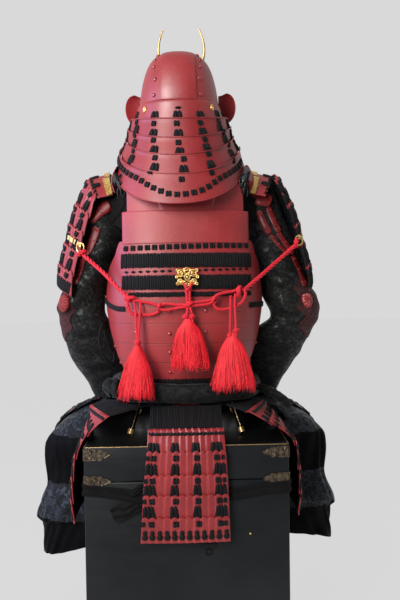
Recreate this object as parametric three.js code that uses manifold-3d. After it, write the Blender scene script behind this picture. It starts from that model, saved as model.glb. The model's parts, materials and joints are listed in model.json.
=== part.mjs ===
// Samurai armour standing on its lacquered storage box, seen with its back to -Y.
// Millimetres, +Z up. Origin: centre of the box's underside. The wearer's left is -X.
import * as THREE from 'three';
import Module from 'manifold-3d';
import { mergeVertices } from 'three/addons/utils/BufferGeometryUtils.js';

const wasm = await Module();
wasm.setup();

// ---- driving dimensions --------------------------------------------------------------
const BOX_SIDE = 460;
const BOX_WALL = 14;
const LID_SEAM = 440;
const LID_TOP = 520;
const SEAM_GAP = 0.6;
const PLATE = 2;             // thickness of a helmet or guard lame
const CUIRASS_WALL = 3;
const CLOTH = 2;
const LAME_STEP = 3.2;       // how far a lower lame's top rim stands off the lame above
const HELMET_CENTRE = [-5, 12];
const HELMET_TURN = -2.8;    // degrees about Z
const CUIRASS_TURN = 3.05;
const OVAL = 2.5;            // exponent of the body's oval sections
const HELMET_OVAL = 2.3;

const DEGREE = Math.PI / 180;
const armour = new THREE.Group();

// ---- materials -----------------------------------------------------------------------
function finish(color, roughness, metalness) {
  return new THREE.MeshStandardMaterial({ color, roughness, metalness });
}
const RED = finish(0x9c2f36, 0.42, 0.05);
const DARK_RED = finish(0x5a1519, 0.5, 0.05);
const BLACK_LACQUER = finish(0x141416, 0.25, 0);
const BLACK_CLOTH = finish(0x17181a, 0.85, 0);
const BLACK_LACE = finish(0x1b1a1e, 0.8, 0);
const GILT = finish(0xd8b455, 0.3, 1);
const RED_CORD = finish(0xe0293a, 0.7, 0);

function add(name, geometry, material, parent = armour) {
  const mesh = new THREE.Mesh(geometry, material);
  mesh.name = name;
  parent.add(mesh);
  return mesh;
}

// ---- small tools ---------------------------------------------------------------------
const vec = (x, y, z) => new THREE.Vector3(x, y, z);
const mix = (a, b, t) => a + (b - a) * t;
const range = (from, to, steps) =>
  Array.from({ length: steps + 1 }, (_, i) => mix(from, to, i / steps));

// A named column of a table, read at a value of the table's first column.
function lookUp(table, column, value) {
  const key = Object.keys(table[0])[0];
  const rising = table[table.length - 1][key] > table[0][key];
  const rows = rising ? table : [...table].reverse();
  if (value <= rows[0][key]) return rows[0][column];
  for (let i = 1; i < rows.length; i += 1) {
    if (value <= rows[i][key]) {
      const t = (value - rows[i - 1][key]) / (rows[i][key] - rows[i - 1][key]);
      return mix(rows[i - 1][column], rows[i][column], t);
    }
  }
  return rows[rows.length - 1][column];
}

// A point of an oval section: the angle is 0 at the back (-Y) and 90 at +X.
function oval(angle, half, back, front, exponent) {
  const s = Math.sin(angle * DEGREE);
  const c = Math.cos(angle * DEGREE);
  const power = 2 / exponent;
  const depth = c >= 0 ? back : front;
  return [
    Math.sign(s) * half * Math.abs(s) ** power,
    -Math.sign(c) * depth * Math.abs(c) ** power,
  ];
}

// ---- closed meshes -------------------------------------------------------------------
class Skin {
  constructor() {
    this.points = [];
    this.faces = [];
  }

  point(p) {
    this.points.push(p.x, p.y, p.z);
    return this.points.length / 3 - 1;
  }

  rows(grid) {
    return grid.map((row) => row.map((p) => this.point(p)));
  }

  strip(a, b, closed, turned) {
    const count = closed ? a.length : a.length - 1;
    for (let i = 0; i < count; i += 1) {
      const j = (i + 1) % a.length;
      if (turned) this.faces.push(a[i], b[i], b[j], a[i], b[j], a[j]);
      else this.faces.push(a[i], b[j], b[i], a[i], a[j], b[j]);
    }
  }

  fan(ring, centre, turned) {
    const middle = this.point(centre);
    for (let i = 0; i < ring.length; i += 1) {
      const j = (i + 1) % ring.length;
      if (turned) this.faces.push(ring[i], middle, ring[j]);
      else this.faces.push(ring[i], ring[j], middle);
    }
  }

  geometry() {
    let volume = 0;
    const at = (i) => vec(this.points[3 * i], this.points[3 * i + 1], this.points[3 * i + 2]);
    for (let f = 0; f < this.faces.length; f += 3) {
      const [a, b, c] = [at(this.faces[f]), at(this.faces[f + 1]), at(this.faces[f + 2])];
      volume += a.dot(b.cross(c));
    }
    if (volume < 0) {
      for (let f = 0; f < this.faces.length; f += 3) {
        [this.faces[f + 1], this.faces[f + 2]] = [this.faces[f + 2], this.faces[f + 1]];
      }
    }
    const shape = new THREE.BufferGeometry();
    shape.setAttribute('position', new THREE.Float32BufferAttribute(this.points, 3));
    shape.setIndex(this.faces);
    return shape;
  }
}

function centreOf(row) {
  const middle = vec(0, 0, 0);
  row.forEach((p) => middle.add(p));
  return middle.divideScalar(row.length);
}

// The unit normal of surface(u, v), on the side away from the point inside.
function normalAt(surface, u, v, inside) {
  const h = 1e-3;
  const du = surface(u + h, v).sub(surface(u - h, v));
  const dv = surface(u, v + h).sub(surface(u, v - h));
  const n = du.cross(dv).normalize();
  if (n.dot(surface(u, v).sub(inside)) < 0) n.negate();
  return n;
}

// A wall on surface(u, v). Its outer face stands lift(v) off the surface, its inner under(v).
function wall({ surface, u, v, inside, thickness, lift, under, closed = false, capped = false }) {
  const outerLift = lift ?? (() => 0);
  const innerLift = under ?? ((down) => outerLift(down) - thickness);
  const outer = [];
  const inner = [];
  for (const down of v) {
    const spots = u.map((round) => ({
      p: surface(round, down),
      n: normalAt(surface, round, down, inside),
    }));
    outer.push(spots.map(({ p, n }) => p.clone().addScaledVector(n, outerLift(down))));
    inner.push(spots.map(({ p, n }) => p.clone().addScaledVector(n, innerLift(down))));
  }
  return shell(outer, inner, closed, capped);
}

// A solid skin of ring sections, closed round each ring and at both ends, or on itself.
function loft(rings, joined = false) {
  const skin = new Skin();
  const rows = skin.rows(rings);
  for (let j = 0; j + 1 < rows.length; j += 1) skin.strip(rows[j], rows[j + 1], true, false);
  if (joined) {
    skin.strip(rows[rows.length - 1], rows[0], true, false);
  } else {
    skin.fan(rows[0], centreOf(rings[0]), true);
    skin.fan(rows[rows.length - 1], centreOf(rings[rings.length - 1]), false);
  }
  return skin.geometry();
}

// A closed shell between two grids of points of the same size.
function shell(outer, inner, closed, capped) {
  const skin = new Skin();
  const out = skin.rows(outer);
  const back = skin.rows(inner);
  const last = out.length - 1;
  for (let j = 0; j < last; j += 1) {
    skin.strip(out[j], out[j + 1], closed, false);
    skin.strip(back[j], back[j + 1], closed, true);
  }
  skin.strip(out[0], back[0], closed, true);
  if (capped) {
    skin.fan(out[last], centreOf(outer[last]), false);
    skin.fan(back[last], centreOf(inner[last]), true);
  } else {
    skin.strip(out[last], back[last], closed, false);
  }
  if (!closed) {
    const end = out[0].length - 1;
    skin.strip(out.map((row) => row[0]), back.map((row) => row[0]), false, false);
    skin.strip(out.map((row) => row[end]), back.map((row) => row[end]), false, true);
  }
  return skin.geometry();
}

// A chain of laced lames in one body: each lower lame's top rim stands a step off the one above.
function lamedWall({ surface, u, rims, inside }) {
  const ledge = 0.03;
  const v = [];
  for (let k = 0; k < rims; k += 1) v.push(k, k + 1 - ledge);
  const lift = (rim) => (rim - Math.floor(rim) > 0.5 ? 0 : LAME_STEP);
  return wall({ surface, u, v, inside, lift, under: () => -PLATE });
}

// ---- joining and cutting -------------------------------------------------------------
function toSolid(geometry) {
  const bare = new THREE.BufferGeometry();
  bare.setAttribute('position', geometry.getAttribute('position').clone());
  if (geometry.index) bare.setIndex(geometry.index.clone());
  const merged = mergeVertices(bare, 1e-4);
  return new wasm.Manifold(new wasm.Mesh({
    numProp: 3,
    vertProperties: new Float32Array(merged.getAttribute('position').array),
    triVerts: new Uint32Array(merged.index.array),
  }));
}

function fromSolid(solid) {
  const mesh = solid.getMesh();
  const shape = new THREE.BufferGeometry();
  shape.setAttribute('position', new THREE.Float32BufferAttribute(mesh.vertProperties, 3));
  shape.setIndex(Array.from(mesh.triVerts));
  return shape;
}

const join = (...shapes) => fromSolid(shapes.map(toSolid).reduce((a, b) => a.add(b)));
const cut = (shape, tool) => fromSolid(toSolid(shape).subtract(toSolid(tool)));

function block(width, depth, height, x, y, z) {
  return new THREE.BoxGeometry(width, depth, height).translate(x, y, z + height / 2);
}

// A round rod or cord along points chosen by hand.
function rod(points, radius, sides = 8, steps = points.length * 3) {
  const route = new THREE.CatmullRomCurve3(points.map((p) => vec(...p)));
  const section = new THREE.Shape();
  section.absarc(0, 0, radius, 0, 2 * Math.PI);
  return new THREE.ExtrudeGeometry(section, {
    steps, curveSegments: sides / 2, extrudePath: route, bevelEnabled: false,
  });
}

// Ring sections along a route: angle 0 is the back of each ring, 90 its +X or outer side.
function ringFrames(stops) {
  const places = stops.map((s) => vec(s.x, s.y, s.z));
  return stops.map((s, i) => {
    const before = places[Math.max(i - 1, 0)];
    const after = places[Math.min(i + 1, stops.length - 1)];
    const along = after.clone().sub(before).normalize();
    const back = vec(0, -1, 0).addScaledVector(along, along.y).normalize();
    const side = new THREE.Vector3().crossVectors(along, back).normalize();
    return { centre: places[i], back, side, radius: s.radius };
  });
}

function ringPoint(frame, angle, radius = frame.radius) {
  return frame.centre.clone()
    .addScaledVector(frame.back, radius * Math.cos(angle * DEGREE))
    .addScaledVector(frame.side, radius * Math.sin(angle * DEGREE));
}

// A tapering solid horn or rod through round sections.
function horn(stops, sides = 8) {
  return loft(ringFrames(stops).map((frame) =>
    range(0, 360 - 360 / sides, sides - 1).map((angle) => ringPoint(frame, angle))));
}

// ---- helmet --------------------------------------------------------------------------
const helmet = new THREE.Group();
helmet.position.set(...HELMET_CENTRE, 0);
helmet.rotation.z = HELMET_TURN * DEGREE;
armour.add(helmet);

const BOWL_RIM = 1345;
const BOWL_LENGTH = 1.37;    // the bowl is longer than it is wide
const BOWL_SECTIONS = [
  { z: 1345, half: 98.5 },
  { z: 1370, half: 95 },
  { z: 1400, half: 88 },
  { z: 1424, half: 79 },
  { z: 1440, half: 68 },
  { z: 1450, half: 55 },
  { z: 1456, half: 39 },
  { z: 1459, half: 16 },
];
const bowlHalf = (z) => lookUp(BOWL_SECTIONS, 'half', z);

function bowlPoint(angle, z) {
  const half = bowlHalf(z);
  const [x, y] = oval(angle, half, half * BOWL_LENGTH, half * BOWL_LENGTH, HELMET_OVAL);
  return vec(x, y, z);
}

function helmetBowl() {
  return wall({
    surface: bowlPoint,
    u: range(0, 360, 22).slice(0, -1),
    v: BOWL_SECTIONS.map((row) => row.z),
    inside: vec(0, 0, 1320),
    thickness: PLATE,
    closed: true,
    capped: true,
  });
}

// The point of the bowl over x, on the ray that climbs at an angle from the back rim.
function bowlOver(x, climb) {
  const direction = vec(0, -Math.cos(climb * DEGREE), Math.sin(climb * DEGREE));
  const inBowl = (reach) => {
    const z = BOWL_RIM - 10 + reach * direction.z;
    const half = bowlHalf(z);
    const long = half * BOWL_LENGTH;
    return z < BOWL_SECTIONS.at(-1).z
      && Math.abs(x / half) ** HELMET_OVAL
      + Math.abs((reach * direction.y) / long) ** HELMET_OVAL < 1;
  };
  let near = 0;
  let far = 200;
  for (let i = 0; i < 40; i += 1) {
    const middle = (near + far) / 2;
    if (inBowl(middle)) near = middle;
    else far = middle;
  }
  return vec(x, near * direction.y, BOWL_RIM - 10 + near * direction.z);
}

function centrePlate() {
  const halfWidth = 45;
  const clear = 2.7;
  return wall({
    surface: bowlOver,
    u: range(-halfWidth, halfWidth, 4),
    v: range(5.5, 146, 14),
    inside: vec(0, 0, 1300),
    lift: () => clear + 1.5,
    thickness: 1.5,
  });
}

const BAND = { top: BOWL_RIM - SEAM_GAP, half: 112, back: 140, zBack: 1262, zSide: 1296, reach: 126 };

function waistBand() {
  const surface = (angle, down) => {
    const flare = Math.max(down, 0) ** 1.6;
    const half = mix(98.5, BAND.half, flare);
    const back = mix(98.5 * BOWL_LENGTH, BAND.back, flare);
    const [x, y] = oval(angle, half, back, back, HELMET_OVAL);
    const tilt = Math.max(Math.cos(angle * DEGREE), -0.3);
    return vec(x, y, mix(BAND.top, mix(BAND.zSide, BAND.zBack, tilt), down));
  };
  return wall({
    surface,
    u: range(-BAND.reach, BAND.reach, 20),
    v: [0, 0.35, 0.7, 1],
    inside: vec(0, 0, 1330),
    thickness: PLATE,
  });
}

function brim() {
  const reach = 48;
  const flangeTop = 1402;
  const profile = [
    { half: 120, front: 178, z: 1302 },
    { half: 105, front: 141, z: 1343 },
    { half: bowlHalf(flangeTop) + 6, front: bowlHalf(flangeTop) * BOWL_LENGTH + 6, z: flangeTop },
  ];
  const surface = (angle, row) => {
    const k = Math.min(Math.max(Math.floor(row), 0), profile.length - 2);
    const t = row - k;
    const [low, high] = [profile[k], profile[k + 1]];
    const front = mix(low.front, high.front, t);
    const [x, y] = oval(180 + angle, mix(low.half, high.half, t), front, front, HELMET_OVAL);
    return vec(x, y, mix(low.z, high.z, t));
  };
  const visor = wall({
    surface,
    u: range(-reach, reach, 12),
    v: [0, 0.5, 1, 1.5, 2],
    inside: vec(0, 0, 1250),
    thickness: PLATE,
  });
  return join(visor, block(30, 16, 34, 0, 142, 1366));
}

// Rims of the neck guard: at the back it hangs lower than at its sides.
const NECK_RIMS = [
  { rim: 0, half: 117, back: 141, zBack: 1270, zSide: 1299 },
  { rim: 1, half: 126, back: 153, zBack: 1223, zSide: 1280 },
  { rim: 2, half: 132, back: 168, zBack: 1180, zSide: 1256 },
  { rim: 3, half: 148, back: 183, zBack: 1133, zSide: 1226 },
  { rim: 4, half: 162, back: 203, zBack: 1065, zSide: 1184 },
  { rim: 5, half: 170, back: 214, zBack: 1020, zSide: 1160 },
];
const NECK_REACH = 112;
const NECK_FRONT = 110;
const NECK_LAP = 0.12;       // share of a lame that lies under the next

function neckPoint(angle, rim) {
  const at = (column) => lookUp(NECK_RIMS, column, rim);
  const [x, y] = oval(angle, at('half'), at('back'), NECK_FRONT, HELMET_OVAL);
  return vec(x, y, mix(at('zSide'), at('zBack'), Math.cos(angle * DEGREE)));
}

function neckLame(index) {
  const last = index === 3;
  const end = index + 1 + (last ? 0 : NECK_LAP);
  return wall({
    surface: neckPoint,
    u: range(-NECK_REACH, NECK_REACH, 20),
    v: range(index, end, last ? 3 : 2),
    inside: vec(0, 20, 1150),
    lift: (rim) => LAME_STEP * (1 - (rim - index) / (end - index)),
    thickness: PLATE,
  });
}

function turnback(side) {
  const outline = new THREE.Shape();
  outline.moveTo(side * 108, 1303);
  outline.lineTo(side * 116, 1303);
  outline.bezierCurveTo(side * 153, 1306, side * 150, 1376, side * 124, 1375);
  outline.bezierCurveTo(side * 108, 1374, side * 106, 1345, side * 108, 1303);
  const plate = new THREE.ExtrudeGeometry(outline, {
    depth: PLATE, bevelEnabled: false, curveSegments: 8,
  });
  return plate.rotateX(Math.PI / 2).translate(0, 52, 0);
}

const HORN_STOPS = [
  { x: 7, y: 139, z: 1404, radius: 4.5 },
  { x: 24, y: 142, z: 1424, radius: 5 },
  { x: 46, y: 143, z: 1462, radius: 5 },
  { x: 60, y: 142, z: 1503, radius: 4.8 },
  { x: 63, y: 141, z: 1530, radius: 4.3 },
  { x: 58, y: 139, z: 1558, radius: 3.4 },
  { x: 49, y: 137, z: 1584, radius: 1.6 },
];

function crestHorn(side) {
  return horn(HORN_STOPS.map((stop) => ({ ...stop, x: side * stop.x })));
}

// ---- cuirass -------------------------------------------------------------------------
const cuirass = new THREE.Group();
cuirass.rotation.z = CUIRASS_TURN * DEGREE;
armour.add(cuirass);

const BODY_SECTIONS = [
  { z: 622, half: 143, back: 126, front: 124 },
  { z: 650, half: 150, back: 130, front: 128 },
  { z: 710, half: 174, back: 146, front: 142 },
  { z: 780, half: 191, back: 157, front: 152 },
  { z: 840, half: 198, back: 162, front: 157 },
  { z: 922, half: 192, back: 160, front: 155 },
  { z: 984, half: 192, back: 154, front: 148 },
  { z: 1053, half: 192, back: 149, front: 140 },
  { z: 1125, half: 192, back: 140, front: 130 },
];
const HEM = 622;
const BACK_TOP = 984;
const BACK_EDGE = [
  { angle: 46, top: 984 },
  { angle: 61, top: 950 },
  { angle: 74, top: 925 },
  { angle: 88.5, top: 905 },
];
const BREAST_EDGE = [
  { angle: 37, top: 1046 },
  { angle: 52, top: 985 },
  { angle: 70, top: 925 },
  { angle: 88.5, top: 905 },
];

function bodyPoint(angle, z) {
  const at = (column) => lookUp(BODY_SECTIONS, column, z);
  const [x, y] = oval(angle, at('half'), at('back'), at('front'), OVAL);
  return vec(x, y, z);
}

// The body's back surface over x, at a height.
function backPoint(x, z) {
  const at = (column) => lookUp(BODY_SECTIONS, column, z);
  return vec(x, -at('back') * (1 - Math.abs(x / at('half')) ** OVAL) ** (1 / OVAL), z);
}

function bodyShell(facing, edge) {
  const surface = (angle, up) => {
    const top = lookUp(edge, 'top', Math.abs(angle));
    return bodyPoint(facing + angle, mix(HEM, top, up));
  };
  return wall({
    surface,
    u: range(-88.5, 88.5, 14),
    v: range(0, 1, 6),
    inside: vec(0, 0, 800),
    thickness: CUIRASS_WALL,
  });
}

function backPlate(halfWidth, low, high, lift) {
  return wall({
    surface: backPoint,
    u: range(-halfWidth, halfWidth, 10),
    v: range(low, high, 2),
    inside: vec(0, 0, 1000),
    lift: () => lift,
    thickness: CUIRASS_WALL,
  });
}

const STRAP_PATH = [
  { share: 0, y: -104, z: 1092, x: 112 },
  { share: 0.14, y: -98, z: 1124, x: 112 },
  { share: 0.3, y: -66, z: 1144, x: 113 },
  { share: 0.5, y: -10, z: 1152, x: 114 },
  { share: 0.68, y: 45, z: 1146, x: 112 },
  { share: 0.84, y: 92, z: 1108, x: 106 },
  { share: 1, y: 106, z: 1040, x: 102 },
];

function shoulderStrap(side) {
  const surface = (across, share) => vec(
    side * (lookUp(STRAP_PATH, 'x', share) + across),
    lookUp(STRAP_PATH, 'y', share),
    lookUp(STRAP_PATH, 'z', share),
  );
  return wall({
    surface,
    u: [-29, 0, 29],
    v: STRAP_PATH.map((row) => row.share),
    inside: vec(side * 112, 0, 1050),
    thickness: 8,
  });
}

const ROLL = { half: 176, back: 151, front: 149, z: 624, thick: 18, tall: 27 };

function waistRoll() {
  const rings = range(0, 360, 28).slice(0, -1).map((angle) => {
    const [x, y] = oval(angle, ROLL.half, ROLL.back, ROLL.front, OVAL);
    const out = vec(x, y, 0).normalize();
    return range(0, 324, 9).map((round) => vec(x, y, ROLL.z)
      .addScaledVector(out, ROLL.thick * Math.cos(round * DEGREE))
      .add(vec(0, 0, ROLL.tall * Math.sin(round * DEGREE))));
  });
  return loft(rings, true);
}

// ---- tassets at the back -------------------------------------------------------------
// Each row is a lame's top rim: its middle, half width and the way it faces, 0 being -Y
// and 90 the side it hangs on. The last row is the bottom edge.
const BACK_CENTRE_RIMS = [
  { rim: 0, x: -1, y: -222, z: 556, half: 85, facing: 0 },
  { rim: 1, x: -1, y: -245, z: 507, half: 88, facing: 0 },
  { rim: 2, x: -2, y: -249, z: 457, half: 92, facing: 0 },
  { rim: 3, x: -3, y: -250, z: 412, half: 95, facing: 0 },
  { rim: 4, x: -4, y: -252, z: 363, half: 97, facing: 0 },
  { rim: 5, x: -5, y: -253, z: 309, half: 100, facing: 0 },
];
const BACK_LEFT_RIMS = [
  { rim: 0, x: -208, y: -112, z: 580, half: 84, facing: -68 },
  { rim: 1, x: -236, y: -108, z: 540, half: 84, facing: -84 },
  { rim: 2, x: -256, y: -105, z: 484, half: 85, facing: -90 },
  { rim: 3, x: -264, y: -105, z: 428, half: 86, facing: -90 },
  { rim: 4, x: -266, y: -105, z: 367, half: 87, facing: -90 },
  { rim: 5, x: -263, y: -105, z: 305, half: 88, facing: -90 },
];
const BACK_RIGHT_RIMS = [
  { rim: 0, x: 169, y: -111, z: 584, half: 84, facing: 70 },
  { rim: 1, x: 207, y: -108, z: 556, half: 84, facing: 82 },
  { rim: 2, x: 252, y: -105, z: 510, half: 85, facing: 90 },
  { rim: 3, x: 260, y: -105, z: 446, half: 86, facing: 90 },
  { rim: 4, x: 262, y: -105, z: 376, half: 87, facing: 90 },
  { rim: 5, x: 259, y: -105, z: 305, half: 88, facing: 90 },
];
const LAME_BOW = 4;          // how far the middle of a lame bows out

function rimPoint(rims, across, rim) {
  const at = (column) => lookUp(rims, column, rim);
  const turn = at('facing') * DEGREE;
  const out = vec(Math.sin(turn), -Math.cos(turn), 0);
  const along = vec(Math.cos(turn), Math.sin(turn), 0);
  return vec(at('x'), at('y'), at('z'))
    .addScaledVector(along, across * at('half'))
    .addScaledVector(out, -LAME_BOW * across ** 2);
}

function backTasset(rims) {
  return lamedWall({
    surface: (across, rim) => rimPoint(rims, across, rim),
    u: range(-1, 1, 6),
    rims: 5,
    inside: vec(0, 0, 300),
  });
}

// The lace curtain that carries a tasset, from under the waist roll.
function laceCurtain(rims, from, to) {
  const top = (across) => {
    const [x, y] = oval(mix(from, to, (across + 1) / 2), ROLL.half, ROLL.back, ROLL.front, OVAL);
    return vec(x, y, ROLL.z - ROLL.tall - 4);
  };
  const surface = (across, down) => top(across).lerp(rimPoint(rims, across, 0), down);
  return wall({
    surface,
    u: range(-1, 1, 8),
    v: [0, 0.45, 0.93],
    inside: vec(0, 0, 300),
    thickness: 3,
  });
}

// ---- thigh guards --------------------------------------------------------------------
const SKIRT_MIDDLE = 90;     // the skirt's oval is centred this far in front
const SKIRT_SECTIONS = [
  { z: 575, half: 214, front: 92, back: 60, power: 2.4 },
  { z: 545, half: 285, front: 140, back: 85, power: 3 },
  { z: 509, half: 335, front: 170, back: 105, power: 4 },
  { z: 464, half: 368, front: 172, back: 118, power: 4 },
  { z: 368, half: 371, front: 174, back: 122, power: 4 },
  { z: 262, half: 393, front: 182, back: 128, power: 4 },
  { z: 250, half: 381, front: 176, back: 122, power: 4 },
  { z: 180, half: 382, front: 178, back: 124, power: 4 },
];
const SKIRT_TURNS = [0.02, 1.5, 6, 14, 25, 37, 48, 58, 70, 82, 94, 106, 117, 128];

// The angle is 0 at the front, 90 at the side and past it at the back.
function skirtPoint(side, angle, z) {
  const at = (column) => lookUp(SKIRT_SECTIONS, column, z);
  const [x, y] = oval(angle, at('half'), at('front'), at('back'), at('power'));
  return vec(side * x, SKIRT_MIDDLE - y, z);
}

function thighGuard(side) {
  return wall({
    surface: (angle, z) => skirtPoint(side, angle, z),
    u: SKIRT_TURNS,
    v: SKIRT_SECTIONS.map((row) => row.z),
    inside: vec(0, SKIRT_MIDDLE, 300),
    thickness: CLOTH,
  });
}

// Tassets that lie on the thigh guards: each rim's height and its span of skirt angles.
const SIDE_RIMS = [
  { rim: 0, z: 568, from: 50, to: 98 },
  { rim: 1, z: 541, from: 44, to: 92 },
  { rim: 2, z: 508, from: 38, to: 84 },
  { rim: 3, z: 460, from: 32, to: 76 },
  { rim: 4, z: 408, from: 28, to: 72 },
  { rim: 5, z: 350, from: 25, to: 69 },
];
const ON_CLOTH = 6;

function sideTasset(side) {
  const surface = (across, rim) => {
    const at = (column) => lookUp(SIDE_RIMS, column, rim);
    const angle = mix(at('from'), at('to'), across);
    const p = skirtPoint(side, angle, at('z'));
    const surfaceAt = (a, z) => skirtPoint(side, a, z);
    return p.addScaledVector(normalAt(surfaceAt, angle, at('z'), vec(0, SKIRT_MIDDLE, 300)), ON_CLOTH);
  };
  return lamedWall({
    surface, u: range(0, 1, 8), rims: 5, inside: vec(0, SKIRT_MIDDLE, 300),
  });
}

const FRONT_RIMS = [
  { rim: 0, z: 592, half: 80, y: 163 },
  { rim: 1, z: 560, half: 84, y: 219 },
  { rim: 2, z: 522, half: 88, y: 263 },
  { rim: 3, z: 470, half: 92, y: 274 },
  { rim: 4, z: 415, half: 96, y: 275 },
  { rim: 5, z: 360, half: 99, y: 277 },
  { rim: 6, z: 305, half: 102, y: 280 },
];

function frontTasset() {
  const surface = (across, rim) => {
    const at = (column) => lookUp(FRONT_RIMS, column, rim);
    return vec(across * at('half'), at('y'), at('z'));
  };
  return lamedWall({ surface, u: range(-1, 1, 4), rims: 6, inside: vec(0, 0, 300) });
}

// ---- shoulder guards -----------------------------------------------------------------
// The outermost line of a guard, from the cap's inner end down to the bottom edge. Both
// edges bow inward from it, along a line that leans this far from straight down.
const GUARD_LINE = [
  { rim: -1, x: 186, z: 1165, lean: 20 },
  { rim: 0, x: 235, z: 1150, lean: 33 },
  { rim: 1, x: 268, z: 1092, lean: 62 },
  { rim: 2, x: 286, z: 1043, lean: 71 },
  { rim: 3, x: 298, z: 993, lean: 74 },
  { rim: 4, x: 314, z: 941, lean: 76 },
  { rim: 5, x: 323, z: 882, lean: 79 },
];
const GUARD_BOW = 45;
const GUARD_HALF = 85;
const GUARD_Y = 15;
const GUARD_DROP = 20;       // the back corner of each rim hangs this much lower
// The left guard is swung back and the right one forward.
const GUARD_SWING = { left: -2, right: 38 };

function guardPoint(side, across, rim) {
  const name = side < 0 ? 'left' : 'right';
  const at = (column) => lookUp(GUARD_LINE, column, rim);
  const lean = at('lean') * DEGREE;
  const inward = GUARD_BOW * across ** 2 + GUARD_SWING[name] * across;
  const x = at('x') - (name === 'right' ? 7 : 0) - inward * Math.sin(lean);
  const z = at('z') - inward * Math.cos(lean) + GUARD_DROP * across;
  return vec(side * x, GUARD_Y + across * GUARD_HALF, z);
}

function guardLames(side) {
  return lamedWall({
    surface: (across, rim) => guardPoint(side, across, rim + 0.03),
    u: range(-1, 1, 8),
    rims: 5,
    inside: vec(side * 150, GUARD_Y, 950),
  });
}

function guardCap(side) {
  const inside = vec(side * 150, GUARD_Y, 950);
  const cap = wall({
    surface: (across, rim) => guardPoint(side, across, rim),
    u: range(-1, 1, 8),
    v: [-1, -0.5, -0.06],
    inside,
    thickness: PLATE,
  });
  const flange = wall({
    surface: (across, up) => guardPoint(side, across, -1)
      .add(vec(-side * 6 * up, 0, up * 17 * (1 - 0.6 * across ** 2) - 1)),
    u: range(-1, 1, 8),
    v: [0, 1],
    inside: vec(side * 400, GUARD_Y, 1100),
    thickness: PLATE,
  });
  return join(cap, flange);
}

function ringPlate(side) {
  const surface = (across, rim) => guardPoint(side, across, rim);
  const inside = vec(side * 150, GUARD_Y, 950);
  const strap = wall({
    surface,
    u: range(-1.02, -0.45, 4),
    v: [2.42, 2.78],
    inside,
    lift: () => LAME_STEP + 3,
    thickness: 2,
  });
  const hang = guardPoint(side, -1, 2.6)
    .addScaledVector(normalAt(surface, -1, 2.6, inside), LAME_STEP + 2);
  const ring = new THREE.TorusGeometry(10, 2, 6, 12);
  ring.rotateX(Math.PI / 2).rotateZ(side * 0.9).translate(hang.x, hang.y - 4, hang.z - 10);
  return join(strap, ring);
}

// ---- sleeves -------------------------------------------------------------------------
const SLEEVE_LEFT = [
  { stop: 0, x: 150, y: 5, z: 1082, radius: 48 },
  { stop: 1, x: 186, y: 0, z: 1030, radius: 50 },
  { stop: 2, x: 232, y: -5, z: 950, radius: 49 },
  { stop: 3, x: 252, y: -10, z: 895, radius: 45 },
  { stop: 4, x: 262, y: -10, z: 850, radius: 47 },
  { stop: 5, x: 269, y: -8, z: 797, radius: 56 },
  { stop: 6, x: 268, y: 22, z: 742, radius: 53 },
  { stop: 7, x: 258, y: 62, z: 694, radius: 46 },
  { stop: 8, x: 238, y: 104, z: 652, radius: 40 },
  { stop: 9, x: 214, y: 140, z: 622, radius: 37 },
];
const SLEEVE_RIGHT = [
  { stop: 0, x: 150, y: 5, z: 1082, radius: 48 },
  { stop: 1, x: 188, y: 0, z: 1030, radius: 50 },
  { stop: 2, x: 234, y: -5, z: 952, radius: 48 },
  { stop: 3, x: 254, y: -10, z: 895, radius: 45 },
  { stop: 4, x: 268, y: -12, z: 850, radius: 50 },
  { stop: 5, x: 289, y: -8, z: 797, radius: 60 },
  { stop: 6, x: 282, y: 22, z: 742, radius: 55 },
  { stop: 7, x: 262, y: 60, z: 695, radius: 48 },
  { stop: 8, x: 240, y: 102, z: 653, radius: 40 },
  { stop: 9, x: 216, y: 140, z: 622, radius: 37 },
];

// A point of a sleeve, between its stops. Angle 0 is its back and 90 its outer side.
function sleeveSurface(side) {
  const stops = (side < 0 ? SLEEVE_LEFT : SLEEVE_RIGHT).map((s) => ({ ...s, x: side * s.x }));
  const frames = ringFrames(stops);
  return (angle, along, lift = 0) => {
    const k = Math.min(Math.max(Math.floor(along), 0), frames.length - 2);
    const near = ringPoint(frames[k], -side * angle, frames[k].radius + lift);
    const far = ringPoint(frames[k + 1], -side * angle, frames[k + 1].radius + lift);
    return near.lerp(far, along - k);
  };
}

function sleeve(side) {
  const surface = sleeveSurface(side);
  const u = range(0, 360, 12).slice(0, -1);
  const v = range(0, SLEEVE_LEFT.length - 1, SLEEVE_LEFT.length - 1);
  const rows = (lift) => v.map((along) => u.map((angle) => surface(angle, along, lift)));
  return shell(rows(0), rows(-CLOTH), true, false);
}

function splintPanel(side) {
  const surface = sleeveSurface(side);
  const u = range(-8, 74, 4);
  const v = [0.45, 1, 1.5, 2, 2.5, 3, 3.3];
  const rows = (lift) => v.map((along) => u.map((angle) => surface(angle, along, lift)));
  return shell(rows(4.6), rows(2.6), false, false);
}

function elbowCap(side) {
  const radius = 24;
  const height = 9;
  const profile = [vec(0, 0, 0)];
  range(0, 90, 4).forEach((angle) => profile.push(vec(
    radius * Math.cos(angle * DEGREE), 2 + height * Math.sin(angle * DEGREE), 0,
  )));
  profile.splice(1, 0, vec(radius, 0, 0));
  const dome = new THREE.LatheGeometry(profile.map((p) => new THREE.Vector2(p.x, p.y)), 14);
  const surface = sleeveSurface(side);
  const seat = surface(42, 4.4);
  const hub = surface(42, 4.4, -40);
  const out = seat.clone().sub(hub).normalize();
  dome.applyQuaternion(new THREE.Quaternion().setFromUnitVectors(vec(0, 1, 0), out));
  const place = seat.addScaledVector(out, 6);
  return dome.translate(place.x, place.y, place.z);
}

// ---- storage box and sash ------------------------------------------------------------
function boxBody() {
  const inside = BOX_SIDE - 2 * BOX_WALL;
  return cut(
    block(BOX_SIDE, BOX_SIDE, LID_SEAM, 0, 0, 0),
    block(inside, inside, LID_SEAM, 0, 0, BOX_WALL),
  );
}

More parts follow.
